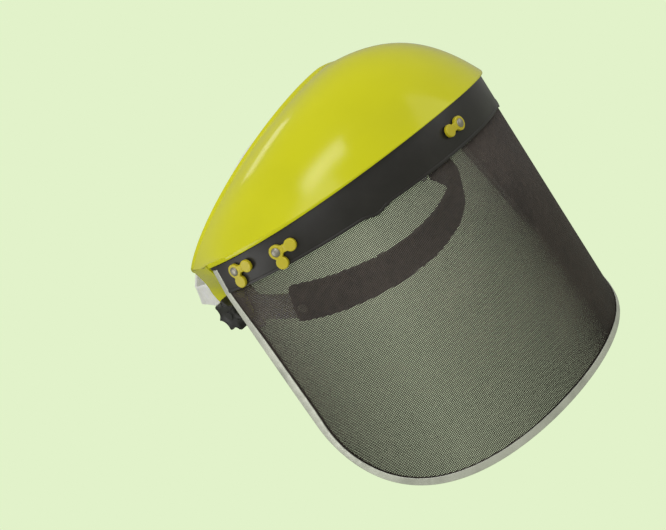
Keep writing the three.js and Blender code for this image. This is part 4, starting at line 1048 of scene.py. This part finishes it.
def knob_data(radius, scoop, lobes, inner, outer, matrix):
    """A star grip: pointed lobes, a chamfered face, and a dished middle with a raised boss."""
    turns = full_turn(lobes * 24)
    reach = radius - scoop * (np.sin(lobes * turns / 2) ** 2 + 0.01) ** 0.42
    ways = np.stack([np.cos(turns), np.sin(turns)], axis=1)
    levels = [(0.9, inner), (0.25, inner + 0.25), (0.0, inner + 0.9), (0.0, outer - 1.6), (0.35, outer - 0.7),
              (1.1, outer - 0.1), (1.7, outer)]
    points, faces = layered_data(reach[:, None] * ways, levels, matrix)
    faces = faces[:-1]
    size = len(turns)
    for share, drop in ((0.62, 0.0), (0.57, 0.5), (0.3, 1.5), (0.24, 1.5), (0.22, 0.9), (0.1, 0.8)):
        faces += quads(len(points) - size, len(points), size)
        points = np.vstack([points, through(matrix, point(*(radius * share * ways).T, outer - drop))])
    faces.append(tuple(range(len(points) - size, len(points))))
    return points, faces


make_headband()
make_sweatband()
for temple in (LEFT, RIGHT):
    make_temple(temple)


# ---- rear straps and adjuster


def spline(points, count):
    """A centripetal Catmull-Rom curve through the points, at even steps along its length."""
    points = np.asarray(points, float)
    ends = [2 * points[0] - points[1], *points, 2 * points[-1] - points[-2]]
    dense = []
    for a, b, c, d in zip(ends, ends[1:], ends[2:], ends[3:]):
        t0, t1, t2 = (math.sqrt(np.linalg.norm(q - p)) for p, q in ((a, b), (b, c), (c, d)))
        start = ((b - a) / t0 - (c - a) / (t0 + t1) + (c - b) / t1) * t1
        end = ((c - b) / t1 - (d - b) / (t1 + t2) + (d - c) / t2) * t1
        for t in np.linspace(0, 1, 30, endpoint=False):
            bend = (-3 * b + 3 * c - 2 * start - end) * t**2
            dense.append(b + start * t + bend + (2 * b - 2 * c + start + end) * t**3)
    dense = np.array([*dense, points[-1]])
    length = length_along(dense)
    even = np.linspace(0, length[-1], count)
    return np.stack([np.interp(even, length, dense[:, k]) for k in range(dense.shape[1])], axis=1)


def rack_edge(x):
    """Height of the toothed edge of a strap's window, from the strap's middle."""
    off = np.abs((x / RACK_PITCH) % 1.0 - 0.5) * RACK_PITCH
    toothed = (x > -1.9 * RACK_PITCH) & (x < 5.9 * RACK_PITCH) & (off < TOOTH_HALF_WIDTH)
    tooth = TOOTH_HEIGHT * (1 - off / TOOTH_HALF_WIDTH)
    return WINDOW_HALF_HEIGHT - np.where(toothed, tooth, 0)


def make_rear_strap(sign):
    """A strap from a temple plate round to the ratchet, with a toothed window at its end."""
    side = SIDE_NAMES[sign]
    is_left = sign > 0
    plate = HEAD_HALF_WIDTH - HEADBAND_THICKNESS / 2 - GAP - STRAP_THICKNESS / 2
    back = REAR_Y if is_left else REAR_Y + STRAP_LAYER
    beside = [[plate, STRAP_FRONT_Y + y] for y in (0, 9, 19)]
    bend = [[plate - 3.5, 46], [plate - 12, 66], [plate - 27, 86], [plate - 45, back - 2.2]]
    curve = spline([*beside, *bend, *([x, back] for x in (46, 38, 20, 0))], 150)
    flat_from = 21.5
    curve = curve[curve[:, 0] > flat_from]
    window = (-2 * RACK_PITCH, 6.5 * RACK_PITCH)
    flat = {*window, *np.linspace(window[0], -STRAP_TIP, 12)}
    for tooth in np.arange(-1.5, 6, 1.0) * RACK_PITCH:
        flat.update((tooth - TOOTH_HALF_WIDTH, tooth, tooth + TOOTH_HALF_WIDTH))
    flat = sorted((x for x in flat if x < flat_from - 0.1), reverse=True)
    middle = np.vstack([curve, [[x, back] for x in flat]])
    x, y = middle.T
    along = unit(np.gradient(middle, axis=0))
    out = np.stack([along[:, 1], -along[:, 0], 0 * x], axis=1)
    drop = -REAR_DROP * smooth_step(y, STRAP_FRONT_Y + 12, REAR_Y - 4)
    half = STRAP_HALF_HEIGHT + 1.5 * (1 - smooth_step(y, 20, 70))
    tip = np.clip((x + STRAP_TIP) / 5.5, 0, 1)
    half = half * np.sqrt(np.maximum(1 - (1 - tip) ** 2, 0.1))
    front = np.clip((y - STRAP_FRONT_Y) / 4.0, 0, 1)
    half = half * np.where(y < 30, np.sqrt(np.maximum(1 - 0.55 * (1 - front) ** 2, 0.1)), 1)
    upper, lower = rack_edge(x), 0 * x + WINDOW_HALF_HEIGHT
    if not is_left:
        upper, lower = lower, upper
    edge = half - 1.2
    window_rows = [np.maximum(-lower, 0.1 - edge), 0 * x, np.minimum(upper, edge - 0.1)]
    heights = np.stack([-half, -edge, *window_rows, edge, half], axis=1)
    # a shallow border runs along both edges of the outer face
    proud = np.array([0, 0, -0.25, -0.25, -0.25, 0, 0])
    at = point(x, y, drop)
    offsets = (STRAP_THICKNESS / 2 + proud, -STRAP_THICKNESS / 2 + 0 * proud)
    grid = np.stack([at[:, None] + out[:, None] * off[:, None] + UP * heights[..., None] for off in offsets])
    count, size = heights.shape
    open_cell = np.zeros((count - 1, size - 1), bool)
    inside = (x[:-1] <= window[1] + 1e-6) & (x[1:] >= window[0] - 1e-6) & (y[:-1] > back - 0.5)
    open_cell[inside, 2:4] = True
    faces = grid_faces(open_cell, count, size)
    points = grid.reshape(-1, 3) * np.array([sign, 1, 1])
    strap = make_mesh(f"rear_strap_moulding_{side}", pitched(points), faces, PALE_PLASTIC, 50)
    clean(strap)
    soften(strap, 0.35, 50)
    strap.data = baked(strap)
    strap.modifiers.clear()
    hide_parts(f"rear_strap_{side}")
    start = pitched(point(sign * plate, STRAP_FRONT_Y + 20, 0)) * MM
    end = pitched(point(sign * 45, back, -REAR_DROP)) * MM
    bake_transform(strap)


def grid_faces(open_cell, count, size):
    """Faces of two grids, one over the other, walled in round their outside and round the open cells."""
    faces = []
    layer = count * size

    def corner(r, c, upper):
        return (layer if upper else 0) + r * size + c

    def filled(r, c):
        return 0 <= r < count - 1 and 0 <= c < size - 1 and not open_cell[r, c]

    for r in range(count - 1):
        for c in range(size - 1):
            if not filled(r, c):
                continue
            ring = [(r, c), (r + 1, c), (r + 1, c + 1), (r, c + 1)]
            faces.append(tuple(corner(*p, False) for p in ring))
            faces.append(tuple(corner(*p, True) for p in reversed(ring)))
            beside = [((r, c - 1), ring[0], ring[1]), ((r + 1, c), ring[1], ring[2]),
                      ((r, c + 1), ring[2], ring[3]), ((r - 1, c), ring[3], ring[0])]
            for other, a, b in beside:
                if not filled(*other):
                    faces.append((corner(*a, False), corner(*b, False), corner(*b, True), corner(*a, True)))
    return faces


def clean(obj):
    """Drops loose points and merges doubled ones."""
    bm = bmesh.new()
    bm.from_mesh(obj.data)
    bmesh.ops.remove_doubles(bm, verts=bm.verts, dist=0.00001)
    bmesh.ops.delete(bm, geom=[v for v in bm.verts if not v.link_faces], context="VERTS")
    bmesh.ops.recalc_face_normals(bm, faces=bm.faces)
    bm.to_mesh(obj.data)
    bm.free()


def soften(obj, width, angle):
    """A bevel on the edges that turn by more than an angle in degrees."""
    bevel = obj.modifiers.new("soften", "BEVEL")
    bevel.width, bevel.segments = width * MM, 2
    bevel.limit_method, bevel.angle_limit = "ANGLE", math.radians(angle)


def cut_by(obj, data):
    """Takes solids, as (points, faces), out of a piece."""
    tool = make_mesh("cutter", *data, PALE_PLASTIC)
    boolean = obj.modifiers.new("cut", "BOOLEAN")
    boolean.operation, boolean.solver, boolean.object = "DIFFERENCE", "EXACT", tool
    bpy.context.view_layer.update()
    obj.data = baked(obj)
    obj.modifiers.clear()
    bpy.data.objects.remove(tool)


def rounded_outline(half_x, half_z, radius, cuts=8):
    """Corners on true quarter circles, anticlockwise."""
    turns = np.linspace(0, math.pi / 2, cuts + 1)
    points = []
    for quarter, (sx, sz) in enumerate(((1, 1), (-1, 1), (-1, -1), (1, -1))):
        for t in turns + quarter * math.pi / 2:
            x, z = sx * (half_x - radius), sz * (half_z - radius)
            points.append([x + radius * math.cos(t), z + radius * math.sin(t)])
    return np.array(points)


def make_ratchet_housing():
    """A tray with rounded ends, and a channel in it for the two straps."""
    end = HOUSING_CORNER * (1 - np.cos(np.linspace(0, math.pi / 2, 14))) - HOUSING_HALF_WIDTH
    x = np.concatenate([end, np.linspace(-24, 24, 9)])
    x = np.unique(np.round(np.concatenate([x, -x]), 4))
    over = np.clip(np.abs(x) - (HOUSING_HALF_WIDTH - HOUSING_CORNER), 0, HOUSING_CORNER)
    half = HOUSING_HALF_HEIGHT - HOUSING_CORNER + np.sqrt(np.maximum(HOUSING_CORNER**2 - over**2, 0.3))
    channel = np.minimum(STRAP_HALF_HEIGHT + 0.5, half - 0.3)
    floor = REAR_Y - STRAP_THICKNESS / 2 - 0.5
    rear = floor + (HOUSING_REAR_Y - floor) * smooth_step(half, 8.2, 9.6)
    front = HOUSING_FRONT_Y + 0 * x
    corners = [(front, -half), (front, half), (rear, half), (rear, channel), (floor + 0 * x, channel),
               (floor + 0 * x, -channel), (rear, -channel), (rear, -half)]
    rings = np.stack([point(x, y, z - REAR_DROP) for y, z in corners], axis=1)
    rings = round_corners(rings, [1.2, 1.2, 0.4, 0.4, 0.1, 0.1, 0.4, 0.4], 3)
    data = loft_data(pitched(np.array(rings)))
    add_piece("ratchet_housing_moulding", data, KNOB_BLACK, 50, "adjuster", "knob_plastic", "ratchet_housing")


def make_ratchet_cover():
    """The cover plate, with a raised border, and its two slotted screws."""
    front = HOUSING_REAR_Y + GAP
    rear = front + COVER_THICKNESS
    outline = rounded_outline(HOUSING_HALF_WIDTH, HOUSING_HALF_HEIGHT, HOUSING_CORNER)
    levels = [(0.3, front), (0.0, front + 0.3), (0.0, rear - 0.9), (0.25, rear - 0.35),
              (0.9, rear), (2.4, rear), (2.7, rear - 0.35), (3.3, rear - 0.35)]
    data = layered_data(outline, levels, PITCHED @ backwards())
    add_piece("ratchet_cover_moulding", data, KNOB_BLACK, 45, "adjuster", "knob_plastic", "ratchet_cover")
    face = rear + GAP
    for sign in (LEFT, RIGHT):
        matrix = PITCHED @ backwards(sign * SCREW_X, SCREW_Z - REAR_DROP)
        tip = HOUSING_FRONT_Y + 2.6
        profile = [(0, tip), (1.2, tip), (1.2, face), (2.3, face), (2.3, face + 0.5),
                   (2.1, face + 0.95), (1.6, face + 1.2), (0, face + 1.2)]
        side = SIDE_NAMES[sign]
        screw = make_mesh(f"cover_slotted_screw_{side}", *lathe_data(profile, matrix, 32), BOLT_STEEL, 40)
        slot = rounded_outline(1.75, 0.32, 0.1, 2)
        cut_by(screw, layered_data(slot, [(0, face + 0.55), (0, face + 2)], matrix))
        finished(screw, "adjuster", "pin_metal", f"cover_screw_{side}")


def make_ratchet_knob():
    inner = HOUSING_REAR_Y + COVER_THICKNESS + 2 * GAP + 1.6
    outer = inner + RATCHET_KNOB_DEPTH
    data = knob_data(RATCHET_KNOB_RADIUS + 0.7, 1.5, 12, inner, outer, PITCHED @ backwards())
    add_piece("ratchet_grip_knob", data, KNOB_BLACK, 45, "ratchet", "knob_plastic", "ratchet_knob")


def make_nape_pad():
    """A cushion on the front of the ratchet, with a seam round it and two pressed lines."""
    rear = HOUSING_FRONT_Y - GAP
    outline = rounded_outline(HOUSING_HALF_WIDTH - 2.2, HOUSING_HALF_HEIGHT + 0.8, 6.5)
    front = rear - NAPE_PAD_THICKNESS
    levels = [(2.2, front + 1.3), (0.7, front + 1.9), (0, front + 3), (0, rear - 0.9), (0.8, rear - 0.2)]
    raw = make_mesh("nape_pad_cover", *layered_data(outline, levels, PITCHED @ backwards()), PAD_CLOTH)

    def held(points):
        return level(points)[:, 1] > rear - 0.8

    pad = settle(raw, 5.0, 1.2, held, voxel=2.0)

    def off_middle(points):
        flat = level(points)
        return np.where(flat[:, 1] < rear - 3, np.abs(np.abs(flat[:, 0]) - 14), 99)

    press_in(pad, lambda points: level(points)[:, 1] - (rear - 2.6), 0.5, 0.9)
    press_in(pad, off_middle, 0.7, 1.2)
    finished(pad, "adjuster", "pad_cover", "nape_pad")


# ---- crown strap


def crown_line(inset, lap, count=90):
    """Middle points of one half of the arch and their outward directions, drawn at x > 0."""
    foot = HEAD_HALF_WIDTH - HEADBAND_THICKNESS / 2 - GAP - CROWN_THICKNESS / 2
    rise = CROWN_TOP - CROWN_SHOULDER_Z - inset
    turns = np.linspace(0, math.pi / 2 + math.asin((lap / foot) ** CROWN_SQUARENESS), count)
    across, up = np.cos(turns), np.sin(turns)
    x = foot * np.sign(across) * np.abs(across) ** (1 / CROWN_SQUARENESS)
    z = CROWN_SHOULDER_Z + rise * up ** (1 / CROWN_SQUARENESS)
    x = np.concatenate([np.full(8, foot), x])
    z = np.concatenate([np.linspace(CROWN_FOOT_Z, CROWN_SHOULDER_Z - 1, 8), z])
    at = point(x, 0, z)
    along = unit(np.gradient(at, axis=0))
    return at, np.stack([along[:, 2], 0 * x, -along[:, 0]], axis=1)


def peg_matrix(i):
    """Up through the crown at a peg's place, counted from the middle."""
    return PITCHED @ frame_matrix([1, 0, 0], [0, 1, 0], UP, [i * PEG_PITCH, 0, 0])


def make_crown_strap(sign):
    """Half of the arch over the head. The left half has holes, the right half below it has pegs."""
    side = SIDE_NAMES[sign]
    inset = 0 if sign > 0 else CROWN_THICKNESS + GAP + 0.2
    lap = CROWN_LAP if sign > 0 else CROWN_LAP - 4
    at, out = crown_line(inset, lap)
    thick, wide = CROWN_THICKNESS / 2, CROWN_HALF_WIDTH
    outline = np.array([[-thick, -wide], [thick, -wide], [thick, -wide + 1.7], [thick - 0.3, -wide + 2.1],
                        [thick - 0.3, wide - 2.1], [thick, wide - 1.7], [thick, wide], [-thick, wide]])
    outline = round_corners(outline, [0.6, 0.5, 0.2, 0.2, 0.2, 0.2, 0.5, 0.6], 2)
    to_foot = length_along(at)
    to_end = to_foot[-1] - to_foot
    near = np.clip(np.minimum(to_foot, to_end) / 7.0, 0, 1)
    narrow = np.sqrt(1 - 0.75 * (1 - near) ** 2)
    y = outline[None, :, 1] * narrow[:, None]
    rings = at[:, None] + out[:, None] * outline[None, :, :1] + np.array([0, 1.0, 0]) * y[..., None]
    rings = rings * np.array([sign, 1, 1])
    parts = [loft_data(pitched(rings))]
    if sign < 0:
        base, tip = CROWN_TOP - inset - 0.5, CROWN_TOP + 2
        top = [(PEG_RADIUS, tip - 0.7), (PEG_RADIUS * 0.8, tip - 0.2), (0, tip)]
        peg = [(0, base), (PEG_RADIUS, base), *top]
        parts += [lathe_data(peg, peg_matrix(i), 24) for i in (0, -1)]
    strap = make_mesh(f"crown_strap_moulding_{side}", *joined(parts), PALE_PLASTIC, 50)
    if sign > 0:
        low, high = CROWN_TOP - 16, CROWN_TOP + 14
        hole = [(0, low), (PEG_RADIUS + GAP, low), (PEG_RADIUS + GAP, high), (0, high)]
        cut_by(strap, joined([lathe_data(hole, peg_matrix(i), 24) for i in (-2, -1, 0, 1)]))
    finished(strap, "headgear", "headgear_plastic", f"crown_strap_{side}")


for temple in (LEFT, RIGHT):
    make_rear_strap(temple)
    make_crown_strap(temple)
make_ratchet_housing()
make_ratchet_cover()
make_ratchet_knob()
make_nape_pad()


# ---- pieces kept from the CAD frame


def dress(name, finish, width):
    """Gives a CAD node its finish and rounds its edges a little."""
    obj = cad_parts[name]
    obj.data.materials.clear()
    obj.data.materials.append(finish)
    soften(obj, width, 40)


dress("knob_insert_left", BRASS, 0.3)
dress("knob_insert_right", BRASS, 0.3)
dress("ratchet_pinion", WASHER_BLACK, 0.15)


# ---- camera, light and floor


CAMERA_LENS, CAMERA_ROLL = 49.526, -32.959
CAMERA_PLACE = Vector((-0.433278, -0.516076, 0.116635))
CAMERA_AIM = Vector((-0.041842, -0.025348, -0.015249))


def place_camera():
    """Looks from the wearer's front left, a little above the headband, and rolled."""
    data = bpy.data.cameras.new("main_camera")
    data.lens, data.sensor_width, data.clip_start, data.clip_end = CAMERA_LENS, 36.0, 0.01, 20.0
    camera = add_object("main_camera", data)
    turn = (CAMERA_AIM - CAMERA_PLACE).to_track_quat("-Z", "Y").to_matrix().to_4x4()
    roll = Matrix.Rotation(math.radians(CAMERA_ROLL), 4, "Z")
    camera.matrix_world = Matrix.Translation(CAMERA_PLACE) @ turn @ roll
    bpy.context.scene.camera = camera


def place_light(name, spot, direction, distance, size, power, along=None):
    """An area light seen from a spot in a direction, turned to face back at it."""
    data = bpy.data.lights.new(name, "AREA")
    data.shape = "RECTANGLE"
    data.size, data.size_y, data.energy = size[0], size[1], power
    lamp = add_object(name, data)
    way = Vector(direction).normalized()
    side = Vector(along or way.orthogonal()).normalized()
    side = (side - way * side.dot(way)).normalized()
    turn = Matrix((side, way.cross(side), way)).transposed().to_4x4()
    lamp.matrix_world = Matrix.Translation(Vector(spot) * MM + way * distance) @ turn


BACKDROP = (*linear(226, 242, 202), 1)
FLOOR_Z, FLOOR_REACH = -620, 6000


def coloured(tree, kind, color):
    node = tree.nodes.new(kind)
    node.inputs["Color"].default_value = color
    return node


def split_rays(tree, output, light, backdrop):
    """Lights the scene with one shader and shows the camera another. Gives the light path back."""
    path = tree.nodes.new("ShaderNodeLightPath")
    mix = tree.nodes.new("ShaderNodeMixShader")
    tree.links.new(path.outputs["Is Camera Ray"], mix.inputs["Fac"])
    tree.links.new(light.outputs[0], mix.inputs[1])
    tree.links.new(backdrop.outputs[0], mix.inputs[2])
    tree.links.new(mix.outputs["Shader"], tree.nodes.new(output).inputs["Surface"])
    return path


def set_world():
    """A plain pale room, dimmer in reflections than on matte surfaces."""
    world = bpy.data.worlds.new("studio")
    bpy.context.scene.world = world
    world.use_nodes = True
    tree = world.node_tree
    tree.nodes.clear()
    light = coloured(tree, "ShaderNodeBackground", (1.0, 1.0, 0.97, 1))
    path = split_rays(tree, "ShaderNodeOutputWorld", light, coloured(tree, "ShaderNodeBackground", BACKDROP))
    bright = tree.nodes.new("ShaderNodeMapRange")
    bright.inputs["To Min"].default_value, bright.inputs["To Max"].default_value = 0.6, 0.34
    tree.links.new(path.outputs["Is Glossy Ray"], bright.inputs["Value"])
    tree.links.new(bright.outputs["Result"], light.inputs["Strength"])
    bpy.context.scene.view_settings.view_transform = "Standard"


def lay_floor():
    finish = bpy.data.materials.new("studio_floor")
    finish.use_nodes = True
    tree = finish.node_tree
    tree.nodes.clear()
    card = coloured(tree, "ShaderNodeBsdfDiffuse", (0.42, 0.44, 0.38, 1))
    split_rays(tree, "ShaderNodeOutputMaterial", card, coloured(tree, "ShaderNodeEmission", BACKDROP))
    corners = np.array([[-1, -1, 0], [1, -1, 0], [1, 1, 0], [-1, 1, 0]]) * FLOOR_REACH + FLOOR_Z * UP
    make_mesh("studio_floor", corners, [(0, 1, 2, 3)], finish)


place_camera()
set_world()
lay_floor()
place_light("window", (-79, -115, 58), (-0.361, -0.353, 0.863), 1.5, (0.75, 0.24), 2.4, (0.78, -0.62, 0.07))
place_light("rear_strip", (-75, -75, 81), (0.235, 0.71, 0.655), 1.5, (0.42, 0.24), 0.5, (0.9, -0.41, 0.12))
place_light("side", (-110, 10, 15), (-0.93, 0.36, 0.0), 1.5, (0.8, 0.8), 3.2)
place_light("key", (0, -60, 20), (-0.75, -0.45, 0.5), 1.6, (1.2, 1.2), 5.5)
place_light("fill", (0, -60, 20), (0.55, -0.75, 0.25), 1.8, (1.2, 1.2), 3.2)
